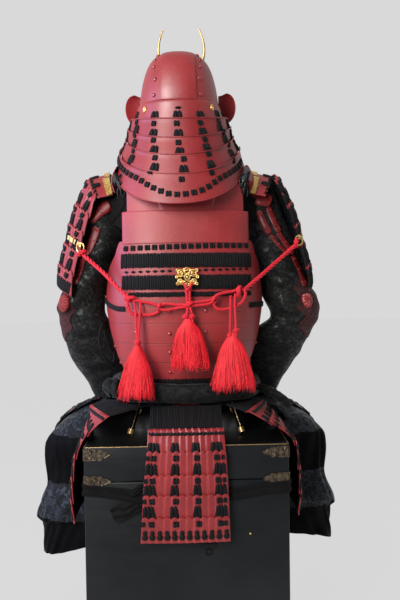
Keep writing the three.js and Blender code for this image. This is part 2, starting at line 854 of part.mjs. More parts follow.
function boxLid() {
  const inside = BOX_SIDE - 2 * BOX_WALL;
  const low = LID_SEAM + SEAM_GAP;
  return cut(
    block(BOX_SIDE, BOX_SIDE, LID_TOP - low, 0, 0, low),
    block(inside, inside, LID_TOP - BOX_WALL - low + 10, 0, 0, low - 10),
  );
}

// The sash's middle line round the box: it sags behind the hanging tasset.
const SASH_LINE = [
  { turn: 0, z: 404 },
  { turn: 18, z: 406 },
  { turn: 45, z: 424 },
  { turn: 90, z: 440 },
  { turn: 180, z: 462 },
];

function sash() {
  const gap = 1.6;
  const half = BOX_SIDE / 2 + gap + 2;
  const surface = (angle, up) => {
    const [s, c] = [Math.sin(angle * DEGREE), Math.cos(angle * DEGREE)];
    const reach = half / Math.max(Math.abs(s), Math.abs(c));
    const turn = angle > 180 ? 360 - angle : angle;
    return vec(reach * s, -reach * c, lookUp(SASH_LINE, 'z', turn) + 13.5 * up);
  };
  const angles = [0, 22, 45, 68];
  const u = [0, 90, 180, 270].flatMap((corner) => angles.map((a) => corner + a));
  const band = wall({
    surface, u, v: [-1, 1], inside: vec(0, 0, 430), thickness: CLOTH, closed: true,
  });
  const loopStops = range(0, 360, 12).slice(0, -1);
  const bow = loft(loopStops.map((turn) => {
    const out = vec(Math.cos(turn * DEGREE), 0, Math.sin(turn * DEGREE));
    const centre = vec(-134 + 34 * out.x, -237, 376 + 24 * out.z);
    return range(0, 300, 5).map((round) => centre.clone()
      .addScaledVector(out, 6 * Math.cos(round * DEGREE))
      .add(vec(0, 5 * Math.sin(round * DEGREE), 0)));
  }), true);
  return join(band, bow);
}

// ---- stand ---------------------------------------------------------------------------
const LEG_RADIUS = 6;
const HUB_LOW = 744;

function standLeg(sideX, sideY) {
  return rod([
    [sideX * 134, sideY * 130, LID_TOP + 4],
    [sideX * 100, sideY * 70.5, 632],
    [sideX * 66, sideY * 11, HUB_LOW - 4],
  ], LEG_RADIUS, 10, 2);
}

function standFrame() {
  const hub = block(172, 40, 26, 0, 0, HUB_LOW);
  const post = new THREE.CylinderGeometry(11, 11, 580, 14)
    .rotateX(Math.PI / 2).translate(0, 0, HUB_LOW + 20 + 290);
  const bar = block(240, 22, 22, 0, 0, 1112);
  const restProfile = [[0, 0], [40, 0], [62, 22], [60, 45], [42, 62], [0, 70]];
  const rest = new THREE.LatheGeometry(restProfile.map(([r, h]) => new THREE.Vector2(r, h)), 16)
    .rotateX(Math.PI / 2).translate(...HELMET_CENTRE, 1334);
  return join(join(hub, post), join(bar, rest));
}

// ---- back cord, its tassels and the gilt plate ---------------------------------------
const LEFT_RUN = [
  [-245, -85, 956], [-222, -99, 936], [-192, -116, 910], [-162, -133, 880], [-130, -150, 850],
];
const RIGHT_RUN = [
  [276, -84, 974], [254, -88, 955], [222, -102, 929], [186, -124, 900], [138, -152, 862],
];
const CENTRE_RUN = [
  [-50, -168, 836], [-20, -171, 835], [9, -173, 834], [35, -173, 836], [56, -172, 838],
];
const CENTRE_DROP = [[8, -171, 874], [8, -173, 850], [9, -174, 830], [8, -174, 806]];
const LEFT_DROP = [[-118, -152, 846], [-113, -156, 800], [-110, -163, 748]];
const RIGHT_DROP = [[124, -154, 856], [113, -160, 812], [110, -166, 772]];

function knot(x, y, z, width, height) {
  return new THREE.SphereGeometry(1, 8, 6).scale(width, 7, height).translate(x, y, z);
}

function cordLoop(x, y, z, width, height, slope) {
  const turns = range(0, 360, 14).slice(0, -1);
  return loft(turns.map((turn) => {
    const out = vec(Math.cos(turn * DEGREE), 0, Math.sin(turn * DEGREE));
    const centre = vec(x + width * out.x, y + slope * width * out.x, z + height * out.z);
    return range(0, 300, 5).map((round) => centre.clone()
      .addScaledVector(out, 4 * Math.cos(round * DEGREE))
      .add(vec(0, 4 * Math.sin(round * DEGREE), 0)));
  }), true);
}

const tasselShape = [
  { down: 0, half: 3 },
  { down: 0.04, half: 8 },
  { down: 0.1, half: 9 },
  { down: 0.16, half: 7 },
  { down: 0.3, half: 19 },
  { down: 0.6, half: 33 },
  { down: 0.92, half: 41 },
  { down: 1, half: 40 },
];

function tassel({ x, y, top, bottom, spread, lean, swell }) {
  return loft(tasselShape.map(({ down, half }) => {
    const wide = half * mix(1, spread, down);
    const deep = Math.min(half, 9 + 6 * down);
    const z = mix(top, bottom, down);
    return range(0, 330, 11).map((turn) => vec(
      x + lean * down + wide * Math.cos(turn * DEGREE),
      y - swell * down + deep * Math.sin(turn * DEGREE),
      z,
    ));
  }));
}

function giltPlate() {
  const outline = new THREE.Shape();
  outline.absellipse(7, 897, 28, 20, 0, 2 * Math.PI);
  const plate = new THREE.ExtrudeGeometry(outline, {
    depth: 3, bevelEnabled: false, curveSegments: 12,
  });
  return plate.rotateX(Math.PI / 2).translate(0, -165, 0);
}

// ---- assembly ------------------------------------------------------------------------
add('helmet_bowl', helmetBowl(), RED, helmet);
add('helmet_centre_plate', centrePlate(), RED, helmet);
add('helmet_waist_band', waistBand(), RED, helmet);
add('helmet_brim', brim(), RED, helmet);
for (let i = 0; i < 4; i += 1) add(`neck_lame_${i + 1}`, neckLame(i), RED, helmet);

add('cuirass_back', bodyShell(0, BACK_EDGE), RED, cuirass);
add('cuirass_front', bodyShell(180, BREAST_EDGE), RED, cuirass);
add('back_upper_panel', backPlate(152, BACK_TOP + SEAM_GAP, 1053, 0), RED, cuirass);
add('nape_plate', backPlate(143, 1040, 1121, -5), RED, cuirass);
add('waist_roll', waistRoll(), BLACK_CLOTH);

add('laces_back_centre', laceCurtain(BACK_CENTRE_RIMS, -24, 24), BLACK_LACE);
add('tasset_back_centre', backTasset(BACK_CENTRE_RIMS), RED);
add('laces_back_left', laceCurtain(BACK_LEFT_RIMS, -78, -26), BLACK_LACE);
add('tasset_back_left', backTasset(BACK_LEFT_RIMS), RED);
add('laces_back_right', laceCurtain(BACK_RIGHT_RIMS, 26, 78), BLACK_LACE);
add('tasset_back_right', backTasset(BACK_RIGHT_RIMS), RED);
add('tasset_front_centre', frontTasset(), RED);

for (const [hand, side] of [['left', -1], ['right', 1]]) {
  add(`turnback_${hand}`, turnback(side), RED, helmet);
  add(`horn_${hand}`, crestHorn(side), GILT, helmet);
  add(`shoulder_strap_${hand}`, shoulderStrap(side), BLACK_CLOTH, cuirass);
  add(`thigh_guard_${hand}`, thighGuard(side), BLACK_CLOTH);
  add(`tasset_side_${hand}`, sideTasset(side), RED);
  add(`guard_cap_${hand}`, guardCap(side), RED);
  add(`guard_lames_${hand}`, guardLames(side), RED);
  add(`ring_plate_${hand}`, ringPlate(side), GILT);
  add(`sleeve_${hand}`, sleeve(side), BLACK_CLOTH);
  add(`splints_${hand}`, splintPanel(side), DARK_RED);
  add(`elbow_cap_${hand}`, elbowCap(side), DARK_RED);
  add(`stand_leg_back_${hand}`, standLeg(side, -1), BLACK_LACQUER);
  add(`stand_leg_front_${hand}`, standLeg(side, 1), BLACK_LACQUER);
}

add('box_body', boxBody(), BLACK_LACQUER);
add('box_lid', boxLid(), BLACK_LACQUER);
add('sash', sash(), BLACK_CLOTH);
add('stand_frame', standFrame(), BLACK_LACQUER);

add('cord_left', join(
  rod(LEFT_RUN, 4, 8, 9), knot(-126, -152, 847, 13, 9),
  cordLoop(-90, -163.5, 839, 32, 13, -0.19), rod(LEFT_DROP, 4, 8, 5),
), RED_CORD);
add('cord_right', join(
  rod(RIGHT_RUN, 4, 8, 9), knot(134, -153, 860, 14, 9),
  cordLoop(98, -158, 850, 34, 13, 0.14), rod(RIGHT_DROP, 4, 8, 5),
), RED_CORD);
add('cord_centre', join(
  rod(CENTRE_RUN, 4.5, 8, 6), knot(9, -174, 834, 13, 13), rod(CENTRE_DROP, 4, 8, 5),
), RED_CORD);
add('tassel_left', tassel({
  x: -110, y: -165, top: 743, bottom: 618, spread: 1.02, lean: -1, swell: 16,
}), RED_CORD);
add('tassel_centre', tassel({
  x: 8, y: -174, top: 801, bottom: 682, spread: 1.08, lean: 2, swell: 0,
}), RED_CORD);
add('tassel_right', tassel({
  x: 110, y: -168, top: 767, bottom: 633, spread: 1.25, lean: -2, swell: 14,
}), RED_CORD);
add('gilt_plate', giltPlate(), GILT);

export default armour;
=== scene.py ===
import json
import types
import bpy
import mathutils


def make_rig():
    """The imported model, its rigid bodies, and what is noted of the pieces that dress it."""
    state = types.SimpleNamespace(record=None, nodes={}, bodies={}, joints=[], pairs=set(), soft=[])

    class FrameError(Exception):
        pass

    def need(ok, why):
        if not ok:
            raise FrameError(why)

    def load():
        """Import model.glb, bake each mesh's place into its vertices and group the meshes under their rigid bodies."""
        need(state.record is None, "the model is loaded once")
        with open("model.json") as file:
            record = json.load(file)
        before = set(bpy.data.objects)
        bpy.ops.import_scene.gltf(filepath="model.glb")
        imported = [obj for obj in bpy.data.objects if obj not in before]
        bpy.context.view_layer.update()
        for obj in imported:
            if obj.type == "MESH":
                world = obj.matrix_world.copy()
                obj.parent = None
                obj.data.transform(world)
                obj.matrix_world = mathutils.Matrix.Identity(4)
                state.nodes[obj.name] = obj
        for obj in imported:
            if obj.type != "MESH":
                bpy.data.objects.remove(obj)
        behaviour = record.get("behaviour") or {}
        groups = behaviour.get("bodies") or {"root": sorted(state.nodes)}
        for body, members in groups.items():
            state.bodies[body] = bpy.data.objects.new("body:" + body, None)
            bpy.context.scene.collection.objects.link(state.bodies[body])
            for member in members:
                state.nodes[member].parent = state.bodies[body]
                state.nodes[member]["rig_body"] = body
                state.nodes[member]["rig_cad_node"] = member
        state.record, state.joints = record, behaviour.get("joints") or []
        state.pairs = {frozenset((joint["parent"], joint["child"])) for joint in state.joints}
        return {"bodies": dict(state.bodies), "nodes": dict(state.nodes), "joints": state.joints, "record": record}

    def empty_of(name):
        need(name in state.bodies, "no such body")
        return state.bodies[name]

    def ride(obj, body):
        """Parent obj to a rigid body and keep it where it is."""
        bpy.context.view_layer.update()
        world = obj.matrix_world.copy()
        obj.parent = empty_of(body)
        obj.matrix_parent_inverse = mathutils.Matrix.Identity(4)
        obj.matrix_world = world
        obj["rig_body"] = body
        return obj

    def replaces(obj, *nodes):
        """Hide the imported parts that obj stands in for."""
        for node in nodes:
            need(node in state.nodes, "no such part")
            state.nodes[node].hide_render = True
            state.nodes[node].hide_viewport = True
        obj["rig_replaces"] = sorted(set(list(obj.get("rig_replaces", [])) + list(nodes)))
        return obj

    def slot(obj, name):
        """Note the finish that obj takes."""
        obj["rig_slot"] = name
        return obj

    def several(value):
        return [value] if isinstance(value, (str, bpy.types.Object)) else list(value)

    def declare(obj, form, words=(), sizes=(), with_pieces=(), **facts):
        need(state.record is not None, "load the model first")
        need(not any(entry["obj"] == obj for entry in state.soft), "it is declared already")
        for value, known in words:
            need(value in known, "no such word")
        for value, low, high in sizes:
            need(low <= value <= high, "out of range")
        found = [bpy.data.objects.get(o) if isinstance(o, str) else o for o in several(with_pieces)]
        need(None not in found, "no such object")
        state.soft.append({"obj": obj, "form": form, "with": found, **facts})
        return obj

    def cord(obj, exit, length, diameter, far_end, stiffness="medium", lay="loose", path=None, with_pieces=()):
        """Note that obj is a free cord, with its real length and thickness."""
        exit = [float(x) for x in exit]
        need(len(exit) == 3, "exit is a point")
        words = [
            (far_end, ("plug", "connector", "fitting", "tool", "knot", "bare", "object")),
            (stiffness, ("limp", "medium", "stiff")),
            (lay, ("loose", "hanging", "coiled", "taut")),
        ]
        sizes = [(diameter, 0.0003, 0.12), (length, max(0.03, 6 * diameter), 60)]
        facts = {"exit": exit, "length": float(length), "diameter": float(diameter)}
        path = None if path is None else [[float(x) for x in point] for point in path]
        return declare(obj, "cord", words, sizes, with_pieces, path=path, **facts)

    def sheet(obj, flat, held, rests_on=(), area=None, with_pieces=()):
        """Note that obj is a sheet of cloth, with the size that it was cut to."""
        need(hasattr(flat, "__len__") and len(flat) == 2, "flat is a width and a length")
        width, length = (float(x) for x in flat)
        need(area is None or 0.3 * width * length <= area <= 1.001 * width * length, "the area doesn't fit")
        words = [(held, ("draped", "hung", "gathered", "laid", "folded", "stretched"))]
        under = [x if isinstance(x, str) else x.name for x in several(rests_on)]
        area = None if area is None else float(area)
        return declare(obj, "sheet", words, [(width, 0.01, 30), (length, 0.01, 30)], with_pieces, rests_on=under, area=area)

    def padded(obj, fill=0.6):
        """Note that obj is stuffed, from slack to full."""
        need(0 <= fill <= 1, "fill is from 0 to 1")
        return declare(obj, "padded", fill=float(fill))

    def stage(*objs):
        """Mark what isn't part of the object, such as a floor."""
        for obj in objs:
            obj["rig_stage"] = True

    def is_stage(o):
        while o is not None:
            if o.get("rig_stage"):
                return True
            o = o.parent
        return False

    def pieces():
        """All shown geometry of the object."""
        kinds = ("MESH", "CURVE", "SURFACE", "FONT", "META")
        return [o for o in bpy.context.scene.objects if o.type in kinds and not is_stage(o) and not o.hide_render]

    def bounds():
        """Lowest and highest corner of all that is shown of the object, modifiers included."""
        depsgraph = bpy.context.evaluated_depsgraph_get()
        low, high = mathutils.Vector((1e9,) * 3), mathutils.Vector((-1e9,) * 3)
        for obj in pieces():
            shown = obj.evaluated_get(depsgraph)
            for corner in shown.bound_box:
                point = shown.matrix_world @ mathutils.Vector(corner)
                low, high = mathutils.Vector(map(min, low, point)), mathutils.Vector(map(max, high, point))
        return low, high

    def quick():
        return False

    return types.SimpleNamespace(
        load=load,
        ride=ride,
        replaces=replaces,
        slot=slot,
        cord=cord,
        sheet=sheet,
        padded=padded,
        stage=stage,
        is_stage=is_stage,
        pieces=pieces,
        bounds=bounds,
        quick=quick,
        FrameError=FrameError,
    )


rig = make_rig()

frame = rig.load()

import json
import random
from math import asin, atan2, copysign, cos, degrees, exp, hypot, pi, sin

import bmesh
import bpy
from mathutils import Matrix, Vector

cadLow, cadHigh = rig.bounds()

mm = 0.001
degree = pi / 180
hands = ((-1, "left"), (1, "right"))


def mix(a, b, t):
    return a + (b - a) * t


def spread(start, end, count):
    return [mix(start, end, i / (count - 1)) for i in range(count)]


# One column of a table as a smooth curve over the table's first column.
def smooth(table, column, value):
    keys = [row[0] for row in table["rows"]]
    at = table["columns"].index(column)
    values = [row[at] for row in table["rows"]]
    if keys[0] > keys[-1]:
        keys, values = keys[::-1], values[::-1]
    if value <= keys[0]:
        return values[0]
    if value >= keys[-1]:
        return values[-1]
    i = max(k for k in range(len(keys) - 1) if keys[k] <= value)

    def slope(k):
        if k == 0 or k == len(keys) - 1:
            a, b = max(k - 1, 0), min(k + 1, len(keys) - 1)
            return (values[b] - values[a]) / (keys[b] - keys[a])
        before = (values[k] - values[k - 1]) / (keys[k] - keys[k - 1])
        after = (values[k + 1] - values[k]) / (keys[k + 1] - keys[k])
        if before * after <= 0:
            return 0
        return 2 * before * after / (before + after)

    gap = keys[i + 1] - keys[i]
    t = (value - keys[i]) / gap
    first, second = slope(i) * gap, slope(i + 1) * gap
    return (
        (2 * t**3 - 3 * t**2 + 1) * values[i]
        + (t**3 - 2 * t**2 + t) * first
        + (3 * t**2 - 2 * t**3) * values[i + 1]
        + (t**3 - t**2) * second
    )


# A point of an oval section: 0 is the back (-Y), 90 is +X.
def oval(angle, half, back, front, power):
    s, c = sin(angle * degree), cos(angle * degree)
    deep = back if c >= 0 else front
    x = copysign(half * abs(s) ** (2 / power), s)
    return x, -copysign(deep * abs(c) ** (2 / power), c)


helmetSeat = {"x": -5, "y": 12, "turn": -2.8, "power": 2.3, "long": 1.37}


def onHelmet(x, y, z):
    turn = helmetSeat["turn"] * degree
    return Vector((
        (helmetSeat["x"] + x * cos(turn) - y * sin(turn)) * mm,
        (helmetSeat["y"] + x * sin(turn) + y * cos(turn)) * mm,
        z * mm,
    ))


bowl = {
    "columns": ["step", "z", "half"],
    "rows": [
        (0, 1345, 98.5), (1, 1370, 95), (2, 1400, 88), (3, 1424, 79), (4, 1440, 68),
        (5, 1450, 55), (6, 1456, 39), (7, 1459, 20), (8, 1460, 0),
    ],
}


def bowlPoint(angle, step):
    z, half = smooth(bowl, "z", step), smooth(bowl, "half", step)
    long = half * helmetSeat["long"]
    x, y = oval(angle, half, long, long, helmetSeat["power"])
    return onHelmet(x, y, z)


def bowlHalf(z):
    low, high = 0, 8
    for _ in range(30):
        middle = (low + high) / 2
        if smooth(bowl, "z", middle) < z:
            low = middle
        else:
            high = middle
    return smooth(bowl, "half", low)


# The bowl's point over x, on the ray that climbs at this angle from the back rim.
def crownPoint(x, climb, lift):
    dy, dz = -cos(climb * degree), sin(climb * degree)
    near, far, power = 0, 200, helmetSeat["power"]
    for _ in range(30):
        reach = (near + far) / 2
        z = 1335 + reach * dz
        half = bowlHalf(z) + lift
        around = abs(x / half) ** power + abs(reach * dy / (half * helmetSeat["long"])) ** power
        inside = z < 1460 + lift and around < 1
        near, far = (reach, far) if inside else (near, reach)
    return onHelmet(x, near * dy, 1335 + near * dz)


waistBand = {"top": 1344.4, "half": 112, "back": 140, "zBack": 1262, "zSide": 1296}


def bandPoint(angle, down):
    flare = max(down, 0) ** 1.6
    half = mix(98.5, waistBand["half"], flare)
    back = mix(98.5 * helmetSeat["long"], waistBand["back"], flare)
    x, y = oval(angle, half, back, back, helmetSeat["power"])
    tilt = max(cos(angle * degree), -0.3)
    low = mix(waistBand["zSide"], waistBand["zBack"], tilt)
    return onHelmet(x, y, mix(waistBand["top"], low, down))


neckGuard = {
    "columns": ["rim", "half", "back", "zBack", "zSide"],
    "rows": [
        (0, 117, 141, 1270, 1299), (1, 126, 153, 1223, 1280), (2, 132, 168, 1180, 1256),
        (3, 148, 183, 1133, 1226), (4, 162, 203, 1065, 1184),
    ],
}


def neckPoint(angle, rim):
    half, back, low, side = (smooth(neckGuard, name, rim) for name in ("half", "back", "zBack", "zSide"))
    x, y = oval(angle, half, back, 110, helmetSeat["power"])
    z = mix(side, low, cos(angle * degree))
    return onHelmet(x, y, z)


cuirassSeat = {"turn": 3.05, "power": 2.5}


def onCuirass(x, y, z):
    turn = cuirassSeat["turn"] * degree
    return Vector((
        (x * cos(turn) - y * sin(turn)) * mm,
        (x * sin(turn) + y * cos(turn)) * mm,
        z * mm,
    ))


body = {
    "columns": ["z", "half", "back", "front"],
    "rows": [
        (622, 143, 126, 124), (650, 150, 130, 128), (710, 174, 146, 142),
        (780, 191, 157, 152), (840, 198, 162, 157), (922, 192, 160, 155),
        (984, 192, 154, 148), (1053, 192, 149, 140), (1125, 192, 140, 130),
    ],
}


def bodyPoint(angle, z):
    x, y = oval(angle, smooth(body, "half", z), smooth(body, "back", z),
                smooth(body, "front", z), cuirassSeat["power"])
    return onCuirass(x, y, z)


def backPoint(x, z):
    half, back = smooth(body, "half", z), smooth(body, "back", z)
    return onCuirass(x, -back * (1 - min(abs(x / half), 1) ** 2.5) ** 0.4, z)


tassetBack = {
    "columns": ["rim", "x", "y", "z", "half", "facing"],
    "rows": [
        (0, -1, -222, 556, 85, 0), (1, -1, -245, 507, 88, 0), (2, -2, -249, 457, 92, 0),
        (3, -3, -250, 412, 95, 0), (4, -4, -252, 363, 97, 0), (5, -5, -253, 309, 100, 0),
    ],
}
tassetLeft = {
    "columns": tassetBack["columns"],
    "rows": [
        (0, -208, -112, 580, 84, -68), (1, -236, -108, 540, 84, -84),
        (2, -256, -105, 488, 85, -90), (3, -264, -105, 438, 86, -90),
        (4, -266, -105, 386, 87, -90), (5, -263, -105, 334, 88, -90),
    ],
}
tassetRight = {
    "columns": tassetBack["columns"],
    "rows": [
        (0, 169, -111, 584, 84, 70), (1, 207, -108, 556, 84, 82),
        (2, 252, -105, 510, 85, 90), (3, 260, -105, 455, 86, 90),
        (4, 262, -105, 399, 87, 90), (5, 259, -105, 343, 88, 90),
    ],
}


def tassetPoint(table, across, rim):
    turn = smooth(table, "facing", rim) * degree
    out = Vector((sin(turn), -cos(turn), 0))
    along = Vector((cos(turn), sin(turn), 0))
    place = Vector([smooth(table, axis, rim) for axis in "xyz"])
    place += along * (across * smooth(table, "half", rim)) - out * (4 * across**2)
    return place * mm


guardLine = {
    "columns": ["rim", "x", "z", "lean"],
    "rows": [
        (-1, 186, 1165, 20), (0, 235, 1150, 33), (1, 268, 1092, 62), (2, 286, 1043, 71),
        (3, 298, 993, 74), (4, 314, 941, 76), (5, 323, 882, 79),
    ],
}
guardForm = {"bow": 45, "half": 85, "y": 15, "drop": 20, "swingLeft": -2, "swingRight": 38,
             "shiftRight": 7}


# The shoulder caps are alike, while the right guard's lames swing outwards.
def guardPoint(side, across, rim, cap=False):
    swing = guardForm["swingLeft" if side < 0 or cap else "swingRight"]
    lean = smooth(guardLine, "lean", rim) * degree
    inward = guardForm["bow"] * across**2 + swing * across
    x = smooth(guardLine, "x", rim) - (guardForm["shiftRight"] if side > 0 else 0)
    x -= inward * sin(lean)
    z = smooth(guardLine, "z", rim) - inward * cos(lean) + guardForm["drop"] * across
    return Vector((side * x, guardForm["y"] + across * guardForm["half"], z)) * mm


skirt = {
    "columns": ["z", "half", "front", "back", "power"],
    "rows": [
        (575, 214, 92, 60, 2.4), (545, 285, 140, 85, 3), (509, 335, 170, 105, 4),
        (464, 368, 172, 118, 4), (368, 371, 174, 122, 4), (262, 393, 182, 128, 4),
        (250, 381, 176, 122, 4), (180, 382, 178, 124, 4),
    ],
}


def skirtPoint(side, angle, z):
    x, y = oval(angle, *[smooth(skirt, name, z) for name in ("half", "front", "back", "power")])
    return Vector((side * x, 90 - y, z)) * mm


# The unit normal of place(u, v), pointing away from a point inside.
def normalOf(place, u, v, inside, stepU, stepV):
    across = place(u + stepU, v) - place(u - stepU, v)
    along = place(u, v + stepV) - place(u, v - stepV)
    out = across.cross(along).normalized()
    return -out if out.dot(place(u, v) - inside) < 0 else out


# A point of a surface, lifted off it by millimetres.
def lifted(place, u, v, inside, lift, stepU=0.5, stepV=0.5):
    return place(u, v) + normalOf(place, u, v, inside, stepU, stepV) * (lift * mm)


def only(piece):
    bpy.ops.object.select_all(action="DESELECT")
    piece.select_set(True)
    bpy.context.view_layer.objects.active = piece


def rename(piece, name):
    piece.name = piece.data.name = name
    return piece


def modify(piece, kind, **settings):
    only(piece)
    step = piece.modifiers.new(kind.title(), kind)
    for name, value in settings.items():
        setattr(step, name, value)
    bpy.ops.object.modifier_apply(modifier=step.name)
    return piece


def smoothShade(piece, angle=35):
    only(piece)
    bpy.ops.object.shade_smooth_by_angle(angle=angle * degree)
    return piece


def editAll(piece, operator, **settings):
    only(piece)
    bpy.ops.object.mode_set(mode="EDIT")
    bpy.ops.mesh.select_all(action="SELECT")
    operator(**settings)
    bpy.ops.object.mode_set(mode="OBJECT")
    return piece


# A grid whose points are put in place by place(u, v), both from 0 to 1.
# Its UV map is in metres, as on the flat cut.
def addGrid(name, columns, rows, place, inside, cut=(1, 1), closed=False):
    bpy.ops.object.select_all(action="DESELECT")
    bpy.ops.mesh.primitive_grid_add(x_subdivisions=columns - 1, y_subdivisions=rows - 1, size=1)
    piece = rename(bpy.context.object, name)
    for vertex in piece.data.vertices:
        vertex.co = place(vertex.co.x + 0.5, vertex.co.y + 0.5)
    for corner in piece.data.uv_layers[0].data:
        corner.uv = (corner.uv[0] * cut[0], corner.uv[1] * cut[1])
    if closed:
        editAll(piece, bpy.ops.mesh.remove_doubles, threshold=1e-6)
    faceOut(piece, inside)
    return piece


def faceOut(piece, inside):
    piece.data.update()
    lean = sum(face.normal.dot(face.center - inside) * face.area for face in piece.data.polygons)
    if lean < 0:
        piece.data.flip_normals()


def thicken(piece, thickness, bevel=0):
    modify(piece, "SOLIDIFY", thickness=thickness, offset=-1, use_rim=True)
    if bevel:
        modify(piece, "BEVEL", width=bevel, segments=2, limit_method="ANGLE", angle_limit=50 * degree)
    return smoothShade(piece)


def joined(name, parts):
    bpy.ops.object.select_all(action="DESELECT")
    for part in parts:
        part.select_set(True)
    bpy.context.view_layer.objects.active = parts[0]
    if len(parts) > 1:
        bpy.ops.object.join()
    return rename(bpy.context.object, name)


def pieceFrom(name, shape):
    data = bpy.data.meshes.new(name)
    shape.to_mesh(data)
    shape.free()
    piece = bpy.data.objects.new(name, data)
    bpy.context.scene.collection.objects.link(piece)
    return piece


def areaOf(piece):
    return sum(face.area for face in piece.data.polygons)


# A model copied onto many seats, as one piece. The model itself is then removed, or kept.
def copied(name, model, seats, keep=False):
    whole = bmesh.new()
    for seat in seats:
        part = model.data.copy()
        part.transform(seat)
        whole.from_mesh(part)
        bpy.data.meshes.remove(part)
    piece = pieceFrom(name, whole)
    if not keep:
        bpy.data.objects.remove(model)
    return smoothShade(piece, 60)


# A seat on a surface: x runs across it, y up it and z out of it.
def seatOn(place, u, v, inside, lift=0.0, turn=0.0, size=1.0, steps=(0.5, 0.02)):
    across = (place(u + steps[0], v) - place(u - steps[0], v)).normalized()
    out = normalOf(place, u, v, inside, *steps)
    up = out.cross(across)
    if up.z < 0:
        across, up = -across, -up
    seat = Matrix((across, up, out)).transposed().to_4x4()
    seat.translation = place(u, v) + out * (lift * mm)
    scale = size if isinstance(size, tuple) else (size, size, size)
    return seat @ Matrix.Rotation(turn * degree, 4, "Z") @ Matrix.Diagonal((*scale, 1))


# A lobe of lacing, long along y, from a sphere: square, round or pointed at each end.
def addLobe(name, width, length, thick, top, bottom, segments=8, rings=6):
    bpy.ops.object.select_all(action="DESELECT")
    bpy.ops.mesh.primitive_uv_sphere_add(segments=segments, ring_count=rings, radius=1)
    piece = rename(bpy.context.object, name)
    for vertex in piece.data.vertices:
        x, z, y = vertex.co
        radius = hypot(x, z) or 1
        power = top if y > 0 else bottom
        girth = (1 - abs(y) ** power) ** (1 / power) if abs(y) < 1 else 0
        vertex.co = (x / radius * girth * width / 2 * mm, y * length / 2 * mm,
                     z / radius * girth**0.7 * thick / 2 * mm)
    return editAll(piece, bpy.ops.mesh.normals_make_consistent, inside=False)


def shifted(piece, x=0.0, y=0.0, z=0.0, turn=0.0):
    move = Matrix.Translation((x * mm, y * mm, z * mm))
    piece.data.transform(move @ Matrix.Rotation(turn * degree, 4, "Z"))
    return piece


def dome(name, radius, height, segments, rings):
    bpy.ops.object.select_all(action="DESELECT")
    bpy.ops.mesh.primitive_uv_sphere_add(segments=segments, ring_count=rings * 2, radius=1)
    piece = rename(bpy.context.object, name)
    for vertex in piece.data.vertices:
        x, y, z = vertex.co
        vertex.co = (x * radius * mm, y * radius * mm, (z * height if z > 0 else z) * mm)
    return piece


def addRing(name, major, minor, segments, sides):
    bpy.ops.mesh.primitive_torus_add(major_segments=segments, minor_segments=sides, major_radius=major * mm,
                                     minor_radius=minor * mm)
    return rename(bpy.context.object, name)


# Puts a dome or a ring upright at a place in millimetres, with its top towards the back.
def facingBack(piece, x, y, z, turn=0.0):
    piece.data.transform(Matrix.Translation(Vector((x, y, z)) * mm) @ Matrix.Rotation(turn, 4, "Z")
                         @ Matrix.Rotation(pi / 2, 4, "X"))
    return piece


def even(turn, k):
    return 1


# A tube through rings of (centre, side, back, radius), closed at its ends.
def addTube(name, frames, sides, section=even):
    shape = bmesh.new()
    around = shape.loops.layers.uv.new("UVMap")
    rings = []
    for k, (centre, first, second, radius) in enumerate(frames):
        ring = []
        for i in range(sides):
            turn = 2 * pi * i / sides
            reach = radius * section(turn, k)
            ring.append(shape.verts.new(
                centre + first * (reach * cos(turn)) + second * (reach * sin(turn))))
        rings.append(ring)
    run = [0.0]
    for a, b in zip(frames, frames[1:]):
        run.append(run[-1] + (b[0] - a[0]).length)
    girth = 2 * pi * frames[len(frames) // 2][3]
    for k in range(len(rings) - 1):
        for i in range(sides):
            j = (i + 1) % sides
            face = shape.faces.new((rings[k][i], rings[k][j], rings[k + 1][j], rings[k + 1][i]))
            across = [i / sides, (i + 1) / sides, (i + 1) / sides, i / sides]
            down = [run[k], run[k], run[k + 1], run[k + 1]]
            for loop, u, v in zip(face.loops, across, down):
                loop[around].uv = (u * girth, v)
    shape.faces.new(rings[0][::-1])
    shape.faces.new(rings[-1])
    return editAll(pieceFrom(name, shape), bpy.ops.mesh.normals_make_consistent, inside=False)


# A smooth path through points given in millimetres, one point every step of length.
def pathThrough(points, step):
    known = [Vector(p) * mm for p in points]
    dense = []
    for i in range(len(known) - 1):
        before = known[max(i - 1, 0)]
        a, b = known[i], known[i + 1]
        after = known[min(i + 2, len(known) - 1)]
        for k in range(24):
            t = k / 24
            dense.append(0.5 * (
                2 * a + (b - before) * t + (2 * before - 5 * a + 4 * b - after) * t**2
                + (3 * a - before - 3 * b + after) * t**3))
    dense.append(known[-1])
    total = sum((b - a).length for a, b in zip(dense, dense[1:]))
    count = max(int(total / step), 4)
    path, walked, k = [dense[0]], 0.0, 0
    for n in range(1, count):
        goal = total * n / count
        while walked + (dense[k + 1] - dense[k]).length < goal:
            walked += (dense[k + 1] - dense[k]).length
            k += 1
        path.append(dense[k].lerp(dense[k + 1], (goal - walked) / (dense[k + 1] - dense[k]).length))
    path.append(dense[-1])
    return path, total


# Frames that follow a path without turning about it.
def framesAlong(path, radius):
    frames = []
    first = None
    for k, point in enumerate(path):
        along = (path[min(k + 1, len(path) - 1)] - path[max(k - 1, 0)]).normalized()
        if first is None:
            first = along.orthogonal().normalized()
        first = (first - along * first.dot(along)).normalized()
        size = radius(k / (len(path) - 1)) if callable(radius) else radius
        frames.append((point, first, along.cross(first), size))
    return frames


rope = {"plies": 3, "groove": 0.42, "lay": 3.4, "sides": 18, "step": 0.0012}


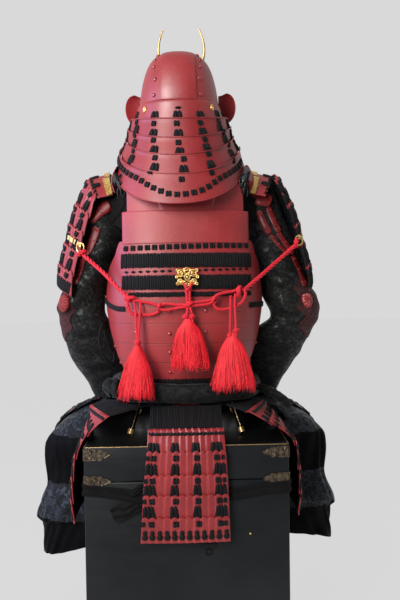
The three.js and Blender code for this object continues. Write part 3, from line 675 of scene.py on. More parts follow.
# A twisted rope along points in millimetres.
def addRope(name, points, diameter):
    step = max(rope["step"], diameter * mm * 0.16)
    path, length = pathThrough(points, step)
    pitch = diameter * mm * rope["lay"]
    stretch = length / (len(path) - 1)

    def section(turn, k):
        twist = 2 * pi * k * stretch / pitch
        return 1 - rope["groove"] * (1 - abs(cos(rope["plies"] / 2 * (turn - twist))))

    piece = addTube(name, framesAlong(path, diameter / 2 * mm), rope["sides"], section)
    for corner in piece.data.uv_layers[0].data:
        corner.uv = (corner.uv.x / (pi * diameter * mm), corner.uv.y / pitch)
    return smoothShade(piece, 80), path, length


# A smooth round wire along points in millimetres.
def addWire(name, points, diameter):
    path, _ = pathThrough(points, max(diameter * 0.3, 0.7) * mm)
    return smoothShade(addTube(name, framesAlong(path, diameter / 2 * mm), 10), 80)


# A socket of a shader, for sums written as sums.
class Value:
    def __init__(self, finish, socket):
        self.finish, self.socket = finish, socket

    def calc(self, operation, *others):
        inputs = dict(enumerate((self, *others)))
        return self.finish.node("ShaderNodeMath", inputs, operation=operation)

    def __add__(self, other):
        return self.calc("ADD", other)

    def __sub__(self, other):
        return self.calc("SUBTRACT", other)

    def __mul__(self, other):
        return self.calc("MULTIPLY", other)

    def __pow__(self, other):
        return self.calc("POWER", other)

    def __rsub__(self, other):
        return self * -1 + other

    __radd__, __rmul__ = __add__, __mul__

    def ranged(self, low, high, toLow=0.0, toHigh=1.0):
        inputs = {"Value": self, "From Min": low, "From Max": high, "To Min": toLow, "To Max": toHigh}
        return self.finish.node("ShaderNodeMapRange", inputs, clamp=True)


def paint(red, green, blue):
    def linear(c):
        c /= 255
        return c / 12.92 if c <= 0.04045 else ((c + 0.055) / 1.055) ** 2.4

    return (linear(red), linear(green), linear(blue), 1)


# A material, built node by node round its Principled shader.
class Finish:
    def __init__(self, name, **settings):
        self.material = bpy.data.materials.new(name)
        self.material.use_nodes = True
        self.tree = self.material.node_tree
        self.surface = self.tree.nodes["Principled BSDF"]
        self.point = self.node("ShaderNodeTexCoord", output="Object")
        self.flat = self.node("ShaderNodeTexCoord", output="UV")
        for slot, value in settings.items():
            self.surface.inputs[slot.replace("_", " ")].default_value = value

    def node(self, kind, inputs=(), output=0, **settings):
        node = self.tree.nodes.new(kind)
        for name, value in settings.items():
            setattr(node, name, value)
        for slot, value in dict(inputs).items():
            self.put(node.inputs[slot], value)
        return Value(self, node.outputs[output])

    def put(self, socket, value):
        if isinstance(value, Value):
            self.tree.links.new(value.socket, socket)
        else:
            socket.default_value = value

    def feed(self, slot, value):
        self.put(self.surface.inputs[slot], value)
        return self

    def scaled(self, place, x, y, z):
        return self.node("ShaderNodeMapping", {"Vector": place, "Scale": (x, y, z)})

    def noise(self, scale, detail=3.0, rough=0.55, place=None, warp=0.0):
        return self.node("ShaderNodeTexNoise", {"Vector": place or self.point, "Scale": scale,
                         "Detail": detail, "Roughness": rough, "Distortion": warp})

    def cells(self, scale, place=None, feature="F1"):
        inputs = {"Vector": place or self.point, "Scale": scale}
        return self.node("ShaderNodeTexVoronoi", inputs, "Distance", feature=feature)

    def wave(self, scale, place=None, axis="X", warp=0.0, detail=2.0):
        inputs = {"Vector": place or self.point, "Scale": scale, "Distortion": warp, "Detail": detail}
        return self.node("ShaderNodeTexWave", inputs, 1, bands_direction=axis)

    def axis(self, name, place=None):
        return self.node("ShaderNodeSeparateXYZ", {"Vector": place or self.point}, name)

    def blend(self, factor, first, second):
        inputs = {0: factor, 6: first, 7: second}
        return self.node("ShaderNodeMix", inputs, 2, data_type="RGBA", clamp_factor=True)

    def bump(self, *layers):
        normal = None
        for height, distance in layers:
            inputs = {"Height": height, "Distance": distance * mm}
            if normal:
                inputs["Normal"] = normal
            normal = self.node("ShaderNodeBump", inputs)
        return self.feed("Normal", normal)


# Satin lacquer over iron: a faint mottle, fine dust and polished spots.
def lacquer(name, deep, bright, rough, grime=0.5, seams=(), shine=1.0):
    made = Finish(name, Specular_IOR_Level=shine)
    cloud, grain = made.noise(9, 4), made.noise(260, 3)
    dust = made.noise(900, 2, 0.7).ranged(0.66, 0.74)
    colour = made.blend(cloud.ranged(0.35, 0.68), deep, bright)
    colour = made.blend(grain.ranged(0.4, 0.9, 0, 0.14), colour, paint(190, 110, 112))
    line = 0.0
    for height in seams:
        away = (made.axis("Z") - height * mm).calc("ABSOLUTE")
        line = away.ranged(1.3 * mm, 0.4 * mm) + line
    if seams:
        colour = made.blend(line * 0.6, colour, paint(70, 8, 10))
    made.feed("Base Color", made.blend(dust * 0.12, colour, paint(190, 150, 150)))
    made.feed("Roughness", cloud.ranged(0.3, 0.75, rough - 0.05, rough + 0.07)
              + grain.ranged(0.3, 0.8, 0, 0.08 * grime))
    layers = [(made.noise(55, 2), 0.3), (grain, 0.05)]
    made.bump(*layers, *([(line * -1, 0.25)] if seams else []))
    return made.material


# Braided silk lacing: fine herringbone strands.
def braid(name, dark, light, strand=1.15):
    made = Finish(name, Specular_IOR_Level=0.16, Sheen_Weight=0.03, Sheen_Roughness=0.5)
    made.feed("Roughness", made.noise(400, 2).ranged(0.2, 0.8, 0.5, 0.75))
    twill = made.wave(1 / (strand * mm) * 0.17, made.scaled(made.point, 1, 1, 0.6), "DIAGONAL", 1.2)
    fibre = made.noise(2600, 2, place=made.scaled(made.point, 1, 1, 0.25))
    tone = twill.ranged(0.1, 0.9) * 0.6 + fibre.ranged(0.3, 0.75) * 0.4
    made.feed("Base Color", made.blend(tone, dark, light))
    made.bump((twill, 0.28), (fibre, 0.12))
    return made.material


def silkRope():
    made = Finish("redSilkRope", Specular_IOR_Level=0.28, Sheen_Weight=0.08, Sheen_Roughness=0.4)
    along, across = made.axis("Y", made.flat), made.axis("X", made.flat)
    fibre = made.noise(3200, 2, 0.6, made.scaled(made.point, 1, 1, 0.7))
    valley = ((across - along) * 3).calc("PINGPONG", 0.5) * 2
    strand = 1 - valley**2.5
    # The tone darkens towards the valleys between the plies: painted shade.
    tone = (fibre.ranged(0.25, 0.75) * 0.35 + 0.65) * strand
    made.feed("Base Color", made.blend(tone, paint(120, 0, 12), paint(238, 42, 60)))
    made.feed("Roughness", fibre.ranged(0.2, 0.8, 0.42, 0.62))
    made.bump((strand, 0.3), (fibre, 0.1))
    return made.material


def silkFringe():
    made = Finish("redSilkFringe", Specular_IOR_Level=0.16, Sheen_Weight=0.03, Sheen_Roughness=0.35)
    strand = made.noise(700, 2, 0.6, made.scaled(made.point, 1, 1, 0.04))
    shade = made.noise(60, 2, place=made.scaled(made.point, 1, 1, 0.3))
    tone = strand.ranged(0.28, 0.72) * 0.65 + shade.ranged(0.3, 0.7) * 0.35
    made.feed("Base Color", made.blend(tone, paint(176, 2, 16), paint(240, 32, 50)))
    made.feed("Roughness", strand.ranged(0.2, 0.8, 0.36, 0.55))
    made.bump((strand, 0.2))
    return made.material


def gold(name, low, high, rough, dents, chased=0.0):
    made = Finish(name)
    tarnish = made.noise(70, 4)
    scroll = made.wave(52, axis="DIAGONAL", warp=15, detail=3)
    line = (scroll.ranged(0.3, 0.48) - scroll.ranged(0.52, 0.7)) * chased
    colour = made.blend(tarnish.ranged(0.3, 0.72), low, high)
    made.feed("Base Color", made.blend(line, colour, paint(116, 66, 20)))
    made.feed("Metallic", tarnish.ranged(0.2, 0.5, 0.6, 0.85))
    made.feed("Roughness", tarnish.ranged(0.25, 0.8, rough, rough + 0.18))
    made.bump((made.noise(160, 2), dents), (made.noise(1400, 2), 0.03), (1 - line, 0.7))
    return made.material


# Old bronze mounts with scrolls cut into them.
def bronze():
    made = Finish("agedBronze")
    scroll = made.wave(34, axis="DIAGONAL", warp=16, detail=3)
    line = scroll.ranged(0.42, 0.5) - scroll.ranged(0.5, 0.58)
    wear = made.noise(120, 4)
    worn = made.blend(wear.ranged(0.3, 0.75), paint(44, 38, 33), paint(122, 108, 92))
    made.feed("Base Color", made.blend(line * 0.9, worn, paint(214, 190, 150)))
    made.feed("Metallic", 0.9)
    made.feed("Roughness", wear.ranged(0.2, 0.8, 0.32, 0.55))
    made.bump((line, 0.5), (wear, 0.15))
    return made.material


# Old black lacquer on wood: long faint streaks, scuffs and specks of dust.
def blackLacquer(name, base, rough, streaks=1.0):
    made = Finish(name, Specular_IOR_Level=0.26)
    cloud = made.noise(3.2, 5)
    streak = made.noise(26, 4, 0.6, made.scaled(made.point, 0.35, 0.35, 2.2))
    scuff = made.noise(140, 5, 0.7).ranged(0.62, 0.74)
    dust = made.cells(150).ranged(0.05, 0.02) * made.noise(14, 1).ranged(0.55, 0.62)
    tint = made.blend(cloud.ranged(0.35, 0.7, 0, streaks), base, paint(27, 30, 33))
    tint = made.blend(scuff * 0.1, tint, paint(80, 82, 84))
    made.feed("Base Color", made.blend(dust * 0.5, tint, paint(150, 146, 140)))
    made.feed("Roughness", streak.ranged(0.3, 0.75, rough - 0.07, rough + 0.12) + scuff * 0.12)
    made.bump((made.noise(18, 3), 0.5), (streak, 0.12), (made.noise(700, 3), 0.03))
    return made.material


# Cotton and silk cloth with a plain weave.
def weave(name, dark, light, threads=1.1, rough=0.78, sheen=0.03, gloss=0.1):
    made = Finish(name, Specular_IOR_Level=gloss, Sheen_Weight=sheen, Sheen_Roughness=0.45)
    warp = made.wave(1 / (threads * mm) * 0.16, made.flat, "X")
    weft = made.wave(1 / (threads * mm) * 0.16, made.flat, "Y")
    slub = made.noise(220, 3, place=made.scaled(made.point, 1, 1, 0.3))
    nap = made.noise(24, 3)
    tone = slub.ranged(0.3, 0.75) * 0.45 + nap.ranged(0.3, 0.7) * 0.35 + warp * weft * 0.2
    made.feed("Base Color", made.blend(tone, dark, light))
    made.feed("Roughness", nap.ranged(0.25, 0.8, rough - 0.08, rough + 0.08))
    made.bump((warp + weft, 0.09), (slub, 0.1))
    return made.material


# Black figured silk: leaves and rosettes of raised satin on a ribbed ground.
def brocade(name, ground, figure, size, lift):
    made = Finish(name, Specular_IOR_Level=0.22, Sheen_Weight=0.04, Sheen_Roughness=0.35)
    sway = made.node("ShaderNodeVectorMath", {0: made.noise(size * 0.7, 2), 1: (0.012,) * 3},
                     operation="MULTIPLY")
    place = made.node("ShaderNodeVectorMath", {0: made.point, 1: sway}, operation="ADD")
    heart = made.cells(size, place)
    petal = made.cells(size * 2.6, place, "SMOOTH_F1")
    leaf = made.cells(size * 1.5, made.scaled(place, 1, 1, 1.7), "DISTANCE_TO_EDGE")
    bloom = petal.ranged(0.46, 0.36) * heart.ranged(0.62, 0.5)
    vine = leaf.ranged(0.02, 0.06) - leaf.ranged(0.09, 0.13)
    figureMask = (bloom + vine * 0.55).ranged(0.15, 0.6)
    rib = made.wave(190, axis="Z")
    thread = made.noise(900, 2, place=made.scaled(made.point, 1, 1, 0.4))
    base = made.blend(thread.ranged(0.3, 0.8), ground, figure)
    made.feed("Base Color", made.blend(figureMask, made.blend(0.75, base, ground), figure))
    made.feed("Roughness", figureMask.ranged(0, 1, 0.62, 0.34) + thread.ranged(0.2, 0.8, 0, 0.12))
    made.bump((figureMask, lift), (rib, 0.05), (thread, 0.12))
    return made.material


# Crushed velvet, with a painted grey-green sheen where its pile lies flat.
def velvet():
    made = Finish("crushedVelvet", Specular_IOR_Level=0.2, Sheen_Weight=0.12, Sheen_Roughness=0.35)
    crush = made.noise(52, 5, 0.62, warp=1.2)
    pile = made.noise(1100, 2)
    tone = crush.ranged(0.42, 0.7) * 0.8 + pile.ranged(0.3, 0.8) * 0.2
    # The crush noise lightens the base colour towards grey-green: a painted sheen.
    made.feed("Base Color", made.blend(tone, paint(4, 5, 4), paint(30, 33, 31)))
    made.feed("Roughness", crush.ranged(0.3, 0.7, 0.9, 0.6))
    made.bump((crush, 1.9), (pile, 0.2))
    return made.material


def mail():
    made = Finish("mailOnCloth", Specular_IOR_Level=0.5)
    ring = made.cells(330)
    loop = ring.ranged(0.22, 0.34) - ring.ranged(0.4, 0.5)
    made.feed("Base Color", made.blend(loop, paint(12, 8, 8), paint(120, 26, 26)))
    made.feed("Metallic", loop * 0.5)
    made.feed("Roughness", loop.ranged(0, 1, 0.85, 0.36))
    made.bump((loop, 0.6))
    return made.material


look = {
    "helmetRed": lacquer("helmetLacquer", paint(134, 14, 18), paint(152, 25, 29), 0.46),
    "plateRed": lacquer("plateLacquer", paint(134, 16, 20), paint(152, 27, 30), 0.49, shine=0.84),
    "hoopRed": lacquer("hoopLacquer", paint(134, 16, 20), paint(152, 27, 30), 0.49, shine=0.76,
                       seams=(788, 741, 695)),
    "lameRed": lacquer("lameLacquer", paint(128, 14, 19), paint(146, 26, 30), 0.47, shine=0.72),
    "darkRed": lacquer("darkRedIron", paint(74, 3, 5), paint(122, 13, 14), 0.4, 1.6, shine=0.4),
    "rivetRed": lacquer("rivetLacquer", paint(120, 12, 16), paint(146, 24, 26), 0.22),
    "lace": braid("blackLacing", paint(3, 3, 3), paint(27, 25, 27)),
    "rope": silkRope(),
    "fringe": silkFringe(),
    "gold": gold("brightGilt", paint(214, 164, 80), paint(255, 224, 146), 0.24, 1.6),
    "chasedGold": gold("chasedGilt", paint(226, 176, 84), paint(255, 226, 140), 0.2, 1.2, chased=0.8),
    "horn": gold("hornGilt", paint(176, 140, 84), paint(214, 188, 134), 0.3, 0.2),
    "bronze": bronze(),
    "box": blackLacquer("boxLacquer", paint(12, 14, 15), 0.42),
    "lid": blackLacquer("lidLacquer", paint(5, 5, 5), 0.34, 0.3),
    "gloss": blackLacquer("legLacquer", paint(4, 4, 5), 0.16, 0.2),
    "satin": weave("blackSatin", paint(1, 1, 2), paint(4, 4, 5), 0.5, 0.6, sheen=0.0, gloss=0.06),
    "cotton": weave("blackCotton", paint(4, 4, 4), paint(24, 23, 24)),
    "brocade": brocade("blackBrocade", paint(4, 4, 4), paint(36, 38, 37), 52, 0.7),
    "panelBrocade": brocade("raisedBrocade", paint(3, 3, 4), paint(34, 41, 50), 46, 1.0),
    "velvet": velvet(),
    "mail": mail(),
    # A blue-black lacquer for faces turned inwards: painted shade.
    "lining": blackLacquer("liningLacquer", paint(14, 17, 24), 0.42, 0.4),
}


def finished(piece, material, slot, *nodes):
    piece.data.materials.clear()
    piece.data.materials.append(look[material])
    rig.slot(piece, slot)
    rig.ride(piece, "root")
    if nodes:
        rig.replaces(piece, *nodes)
    return piece


def dressNode(name, material):
    node = frame["nodes"][name]
    for slot in node.material_slots:
        slot.material = look[material]


print("materials")


camera = {"lens": 39.66, "place": (-0.004, -1.7, 0.886), "yaw": -1.5, "tilt": 88.4, "roll": -0.78}

bpy.ops.object.camera_add(location=camera["place"])
eye = bpy.context.object
eye.name = "camera"
eye.data.lens = camera["lens"]
eye.data.clip_start = 0.05
eye.rotation_mode = "QUATERNION"
eye.rotation_quaternion = (
    Matrix.Rotation(camera["yaw"] * degree, 3, "Z")
    @ Matrix.Rotation(camera["tilt"] * degree, 3, "X")
    @ Matrix.Rotation(camera["roll"] * degree, 3, "Z")
).to_quaternion()
bpy.context.scene.camera = eye
bpy.context.scene.view_settings.view_transform = "Standard"


def addSoftbox(name, place, target, width, height, power, colour):
    bpy.ops.object.light_add(type="AREA", location=place)
    light = bpy.context.object
    light.name = name
    light.data.shape = "RECTANGLE"
    light.data.size, light.data.size_y = width, height
    light.data.energy = power
    light.data.color = colour
    aim = Vector(target) - Vector(place)
    light.rotation_mode = "QUATERNION"
    light.rotation_quaternion = aim.to_track_quat("-Z", "Y")


addSoftbox("window", (-1.5, -2.4, 2.0), (0, -0.1, 0.95), 1.3, 2.0, 124, (1.0, 0.97, 0.95))
addSoftbox("skyLeft", (-2.5, -0.3, 1.35), (0, -0.1, 1.05), 1.3, 1.9, 54, (0.5, 0.56, 1.0))

air = bpy.data.worlds.new("studioAir")
air.use_nodes = True
# It looks pale all round, but the room lights the armour less from the side of the windows.
sky = air.node_tree.nodes["Background"]
kinds = ("TexCoord", "SeparateXYZ", "MapRange", "Mix", "LightPath", "Mix")
way, split, ramp, room, ray, shown = [air.node_tree.nodes.new("ShaderNode" + kind) for kind in kinds]
ramp.inputs["From Min"].default_value = -0.6
ramp.inputs["From Max"].default_value = 0.6
room.data_type = shown.data_type = "RGBA"
room.inputs[6].default_value = paint(118, 118, 120)
room.inputs[7].default_value = paint(217, 217, 217)
shown.inputs[7].default_value = paint(217, 217, 217)
for start, end in [
    (way.outputs["Generated"], split.inputs[0]),
    (split.outputs["Y"], ramp.inputs["Value"]),
    (ramp.outputs[0], room.inputs[0]),
    (ray.outputs["Is Camera Ray"], shown.inputs[0]),
    (room.outputs[2], shown.inputs[6]),
    (shown.outputs[2], sky.inputs["Color"]),
]:
    air.node_tree.links.new(start, end)
bpy.context.scene.world = air

bpy.ops.mesh.primitive_circle_add(vertices=96, radius=14, fill_type="NGON")
floor = rename(bpy.context.object, "studioFloor")
paper = Finish("paleFloor", Specular_IOR_Level=0.0)
paper.feed("Base Color", paint(52, 52, 52)).feed("Roughness", 0.9)
fade = paper.blend(paper.axis("Y").ranged(-2.4, -0.5), paint(140, 140, 140), paint(217, 217, 217))
seen = paper.node("ShaderNodeLightPath", {}, "Is Camera Ray")
paper.feed("Emission Color", paper.blend(seen, fade, paint(217, 217, 217)))
paper.feed("Emission Strength", 0.955)
floor.data.materials.append(paper.material)
floor.location.z = -0.0005
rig.stage(floor)
print("camera, lights, floor")


# Points in millimetres. The first five repeat the routes of the solid ropes.
cords = {
    "leftRun": {"thick": 10.5, "points": [
        (-245, -85, 956), (-222, -99, 936), (-192, -116, 910), (-162, -133, 880), (-131, -150, 851)]},
    "rightRun": {"thick": 10.5, "points": [
        (276, -84, 974), (254, -88, 955), (222, -102, 929), (186, -124, 900), (138, -152, 862)]},
    "leftLoop": {"thick": 7.5, "points": [
        (-124, -155, 848), (-109, -162, 844), (-91, -165, 840), (-70, -168, 835), (-57, -170, 828),
        (-62, -168, 817), (-80, -165, 810), (-100, -162, 811), (-116, -160, 810), (-127, -160, 819),
        (-132, -160, 834), (-130, -158, 846)]},
    "leftStrandTop": {"thick": 7, "points": [
        (-58, -172, 829), (-48, -173, 835), (-34, -174, 835), (-18, -175, 833), (0, -176, 833)]},
    "leftStrandLow": {"thick": 7, "points": [
        (-59, -174, 825), (-46, -175, 821), (-30, -175, 823), (-16, -176, 826), (0, -177, 828)]},
    "rightStrandTop": {"thick": 7, "points": [
        (16, -177, 837), (30, -175, 839), (46, -173, 840), (60, -171, 843), (70, -169, 847)]},
    "rightStrandLow": {"thick": 7, "points": [
        (16, -178, 830), (30, -176, 831), (46, -174, 832), (60, -172, 835), (69, -170, 839)]},
    "rightLoop": {"thick": 7.5, "points": [
        (66, -170, 846), (74, -168, 853), (84, -166, 857), (98, -163, 860), (114, -160, 862),
        (130, -157, 868), (142, -157, 862), (141, -159, 848), (132, -161, 835), (118, -163, 827),
        (102, -165, 822), (86, -168, 820), (73, -169, 824), (67, -170, 834)]},
    "centreDropLeft": {"thick": 6.5, "points": [
        (-2, -173, 884), (4, -176, 872), (5, -177, 860), (6, -178, 848), (7, -179, 832),
        (6, -179, 818), (4, -178, 806), (4, -177, 790)]},
    "centreDropRight": {"thick": 6.5, "points": [
        (19, -173, 884), (13, -176, 872), (12, -177, 860), (12, -178, 848), (12, -179, 832),
        (15, -179, 818), (18, -178, 806), (17, -177, 790)]},
    "leftDropOuter": {"thick": 6, "points": [
        (-118, -160, 843), (-114, -166, 826), (-113, -168, 804), (-112, -169, 776), (-111, -169, 740),
        (-111, -169, 705)]},
    "leftDropInner": {"thick": 6, "points": [
        (-104, -160, 843), (-102, -167, 826), (-104, -169, 804), (-106, -170, 776), (-109, -170, 742)]},
    "rightDropOuter": {"thick": 6, "points": [
        (119, -160, 856), (117, -167, 838), (117, -170, 818), (118, -172, 794), (118, -172, 760),
        (116, -172, 728)]},
    "rightDropInner": {"thick": 6, "points": [
        (108, -162, 852), (107, -169, 832), (106, -171, 806), (105, -172, 778), (104, -172, 744)]},
}
# Turns wrapped round a knot: place, radii across, out and up, how many, and their tilt.
knots = {
    "leftKnot": {"place": (-126, -158, 848), "reach": (12, 8, 9), "turns": 2.6, "thick": 6.5, "tilt": 40},
    "rightKnot": {"place": (128, -159, 861), "reach": (13, 8, 9), "turns": 3.2, "thick": 6.5, "tilt": -42},
    "rightWrap": {"place": (68, -170, 842), "reach": (5, 7, 8), "turns": 1.6, "thick": 6.5, "tilt": 8},
    "leftWrap": {"place": (-58, -172, 828), "reach": (5, 6, 7), "turns": 1.4, "thick": 6, "tilt": -8},
    "centreKnot": {"place": (9.5, -178, 833), "reach": (9, 7, 8), "turns": 3.4, "thick": 6.5, "tilt": 20},
    "leftRingKnot": {"place": (-247, -87, 959), "reach": (8, 6, 9), "turns": 2.2, "thick": 6.5, "tilt": 30},
    "rightRingKnot": {"place": (276, -86, 977), "reach": (7, 6, 9), "turns": 2.2, "thick": 6.5, "tilt": -30},
    "centreNeck": {"place": (9, -176.5, 868), "reach": (7, 5, 4), "turns": 1.6, "thick": 6, "tilt": 0},
}


def addKnot(name, place, reach, turns, thick, tilt):
    lean = Matrix.Rotation(tilt * degree, 3, "Y")
    points = []
    for k in range(int(turns * 10) + 1):
        a = 2 * pi * k / 10
        shift = (k / (turns * 10) - 0.5) * 2
        swing = 1 - 0.25 * shift * shift
        local = Vector((reach[0] * cos(a) * 0.62 * swing + shift * thick * 0.7,
                        reach[1] * sin(a), reach[2] * cos(a + 0.5) * swing))
        points.append(tuple(Vector(place) + lean @ local))
    return addRope(name, points, thick)[0]


ropes = {}
for name, cord in cords.items():
    ropes[name], cord["path"], cord["length"] = addRope(name + "Rope", cord["points"], cord["thick"])
    finished(ropes[name], "rope", "red_cord")
wraps = {}
for name, knot in knots.items():
    wraps[name] = finished(addKnot(name, **knot), "rope", "red_cord")

# A tassel: a bound head, a bell of fine strands and a few strays, in millimetres.
tassels = {
    "left": {"x": -110, "y": -165, "top": 743, "bottom": 620, "spread": 1.02, "lean": -3, "swell": 16,
             "flat": 0.62, "slim": 0.42, "heads": [(-110, 6)]},
    "centre": {"x": 8, "y": -174, "top": 801, "bottom": 684, "spread": 1.08, "lean": 3, "swell": 4,
               "flat": 0.6, "slim": 0.1, "heads": [(2, 6), (17, 6)]},
    "right": {"x": 110, "y": -168, "top": 767, "bottom": 636, "spread": 1.22, "lean": 1, "swell": 16,
              "flat": 0.6, "slim": 0.4, "heads": [(104, 5), (119, 6)]},
}
bell = {
    "columns": ["down", "half"],
    "rows": [(0, 7), (0.05, 10), (0.12, 16.5), (0.22, 24.5), (0.4, 30.5), (0.6, 34), (0.8, 37), (1, 39)],
}
strandForm = {"count": 420, "thick": 1.35, "steps": 9, "sides": 5}


def bellHalf(tassel, down):
    slim = 1 - tassel["slim"] * (1 - down) ** 2
    return smooth(bell, "half", down) * tassel["spread"] * slim


# One strand from the head out to the skirt's edge: turn, how deep inside, how long.
def strandPoints(tassel, turn, inside, reach, sway):
    points = []
    steps = strandForm["steps"]
    for k in range(steps + 1):
        down = k / steps * reach
        half = bellHalf(tassel, min(down, 1)) * mix(1, inside, min(down * 2, 1))
        half += max(down - 0.75, 0) ** 1.5 * sway["flare"]
        deep = min(half, 9 + 12 * down) * tassel["flat"] * 1.55
        wave = sin(down * 9 + sway["phase"]) * sway["size"] * down
        points.append(Vector((
            tassel["x"] + tassel["lean"] * down * 1.4 + half * sin(turn) + wave,
            tassel["y"] - tassel["swell"] * down - deep * cos(turn) * 0.85,
            mix(tassel["top"], tassel["bottom"], down))) * mm)
    return points


def addStrands(name, tassel, seed):
    dice = random.Random(seed)
    mesh = bmesh.new()
    for n in range(strandForm["count"]):
        stray = n % 34 == 0
        turn = dice.uniform(-pi, pi)
        inside = dice.uniform(0.94, 1.05) if n % 3 else dice.uniform(0.5, 0.95)
        reach = dice.gauss(0.98, 0.04)
        flare = dice.uniform(-2, 9)
        if stray:
            inside, flare, reach = 1.08, dice.uniform(30, 62), dice.uniform(0.86, 0.98)
            turn = copysign(dice.uniform(1.0, 1.7), turn)
        sway = {"phase": dice.uniform(0, 6), "size": dice.uniform(0.3, 3.2), "flare": flare}
        points = strandPoints(tassel, turn, inside, reach, sway)
        thick = strandForm["thick"] * (0.45 if stray else dice.uniform(0.7, 1.25)) / 2 * mm
        before = None
        for k, point in enumerate(points):
            along = (points[min(k + 1, len(points) - 1)] - points[max(k - 1, 0)]).normalized()
            side = along.cross(Vector((0, 1, 0))).normalized()
            out = side.cross(along)
            size = thick * (1 if k < len(points) - 1 else 0.35)
            ring = [mesh.verts.new(point + side * (size * cos(a)) + out * (size * sin(a)))
                    for a in (2 * pi * i / strandForm["sides"] for i in range(strandForm["sides"]))]
            if before:
                for i in range(len(ring)):
                    j = (i + 1) % len(ring)
                    mesh.faces.new((before[i], before[j], ring[j], ring[i]))
            else:
                mesh.faces.new(ring[::-1])
            before = ring
        mesh.faces.new(before)
    return smoothShade(editAll(pieceFrom(name, mesh), bpy.ops.mesh.normals_make_consistent, inside=False), 70)


# The full middle of a tassel, which its strands cover.
def addBell(name, tassel):
    def place(u, v):
        a = u * 2 * pi
        down = mix(0.0, 0.93, v)
        half = bellHalf(tassel, down) * 0.9
        half *= sin(min(1, (1 - v) * 9 + 0.05) * pi / 2)
        deep = min(half, 9 + 12 * down) * tassel["flat"] * 1.3
        return Vector((tassel["x"] + tassel["lean"] * down * 1.4 + half * sin(a),
                       tassel["y"] - tassel["swell"] * down - deep * cos(a) * 0.85,
                       mix(tassel["top"], tassel["bottom"], down))) * mm

    heart = Vector((tassel["x"], tassel["y"], (tassel["top"] + tassel["bottom"]) / 2)) * mm
    piece = addGrid(name, 40, 14, place, heart, closed=True)
    editAll(piece, bpy.ops.mesh.fill_holes, sides=0)
    return smoothShade(piece, 60)


# A bound head: a small torus of rope round the neck and a bud above it.
def addHead(name, x, y, z, size):
    points = [(x + size * cos(a), y + size * 0.8 * sin(a), z + size * 0.12 * cos(a * 2))
              for a in (2 * pi * k / 12 for k in range(25))]
    low = addRope(name + "Binding", [(px, py, z - 2.4 + 4.8 * k / 24) for k, (px, py, _) in
                                    enumerate(points)], 4.6)[0]
    bud = dome(name + "Bud", size * 0.98, 1, 14, 5)
    bud.data.transform(Matrix.Translation(Vector((x, y, z + 1)) * mm) @ Matrix.Diagonal(
        (1, 0.85, size * 1.15, 1)))
    return joined(name, [low, bud])


for number, (side, tassel) in enumerate(tassels.items()):
    strands = addStrands("tasselStrands" + side.title(), tassel, 41 + number)
    fill = addBell("tasselBell" + side.title(), tassel)
    tassel["pieces"] = [
        finished(strands, "fringe", "red_cord", "tassel_" + side),
        finished(fill, "fringe", "red_cord"),
    ]
    for k, (x, size) in enumerate(tassel["heads"]):
        drop = 11 if side == "right" and k == 0 else 0
        name, z = "tasselHead" + side.title() + "AB"[k], tassel["top"] + 4 - drop
        tassel["pieces"].append(finished(addHead(name, x, tassel["y"] - 3, z, size), "rope", "red_cord"))

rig.replaces(ropes["leftRun"], "cord_left")
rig.replaces(ropes["rightRun"], "cord_right")
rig.replaces(ropes["leftStrandTop"], "cord_centre")
held = {
    "leftRun": ("knot", [wraps["leftKnot"], wraps["leftRingKnot"]], "taut"),
    "rightRun": ("knot", [wraps["rightKnot"], wraps["rightWrap"], wraps["rightRingKnot"]], "taut"),
    "centreDropLeft": ("tool", [wraps["centreKnot"], wraps["centreNeck"], *tassels["centre"]["pieces"]],
                       "hanging"),
    "leftDropOuter": ("tool", tassels["left"]["pieces"], "hanging"),
    "rightDropOuter": ("tool", tassels["right"]["pieces"], "hanging"),
    "leftStrandTop": ("object", [wraps["leftWrap"]], "loose"),
}
for name, cord in cords.items():
    end, pieces, lay = held.get(name, ("object", [], "hanging" if "Drop" in name else "loose"))
    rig.cord(ropes[name], exit=cord["path"][0], length=cord["length"], diameter=cord["thick"] * mm,
            far_end=end, stiffness="limp", lay=lay, path=cord["path"], with_pieces=pieces)
print("ropes and tassels")


helmetHeart = onHelmet(0, 0, 1300)


# A strip of plate over a surface, thick inwards, with softened edges.
def addPlate(name, place, inside, columns, rows, thickness, bevel=0.5):
    return thicken(addGrid(name, columns, rows, place, inside), thickness * mm, bevel * mm)


# A square of lacing: two short cords side by side, bound by a third across them.
def squareLace(width, height):
    half = width / 2
    left = shifted(addLobe("lace", half * 1.06, height, 5.0, 5, 5), x=-half / 2)
    right = shifted(addLobe("lace", half * 1.06, height, 5.0, 5, 5), x=half / 2)
    cross = shifted(addLobe("lace", height * 0.34, width * 1.03, 6.4, 5, 5), turn=90)
    return shifted(joined("squareLace", [left, right, cross]), z=0.6)


# Cords that come out of one pair of holes and go down under the next lame.
def dropLace(cords, width, height):
    each = width / cords
    parts = []
    for k in range(cords):
        x = (k - (cords - 1) / 2) * each
        cord = addLobe("lace", each * 1.12, height, 5.6, 2.1, 9, segments=10, rings=8)
        for vertex in cord.data.vertices:
            down = 0.5 - vertex.co.y / (height * mm)
            vertex.co.x *= 0.78 + 0.3 * down
            vertex.co.x += x * mm * (0.72 + 0.34 * down)
            vertex.co.z *= 1.1 - 0.25 * down
        parts.append(cord)
        for side in (-1, 1):
            parts.append(shifted(addLobe("lace", each * 0.36, height * 0.9, 6.0, 2, 8, 6, 5),
                                 x=x * 0.92 + side * each * 0.27, y=-height * 0.04))
    return shifted(joined("dropLace", parts), z=0.4)


# How far the lames of the neck guard reach round it, and how each one stands off the next.
neckLames = {
    "reach": (86, 88, 90, 92), "lap": 1.12, "step": 3.4, "flare": 2.2, "tuck": 1.6, "bead": 3.4, "hem": 3.0,
}
neckLast = len(neckLames["reach"]) - 1


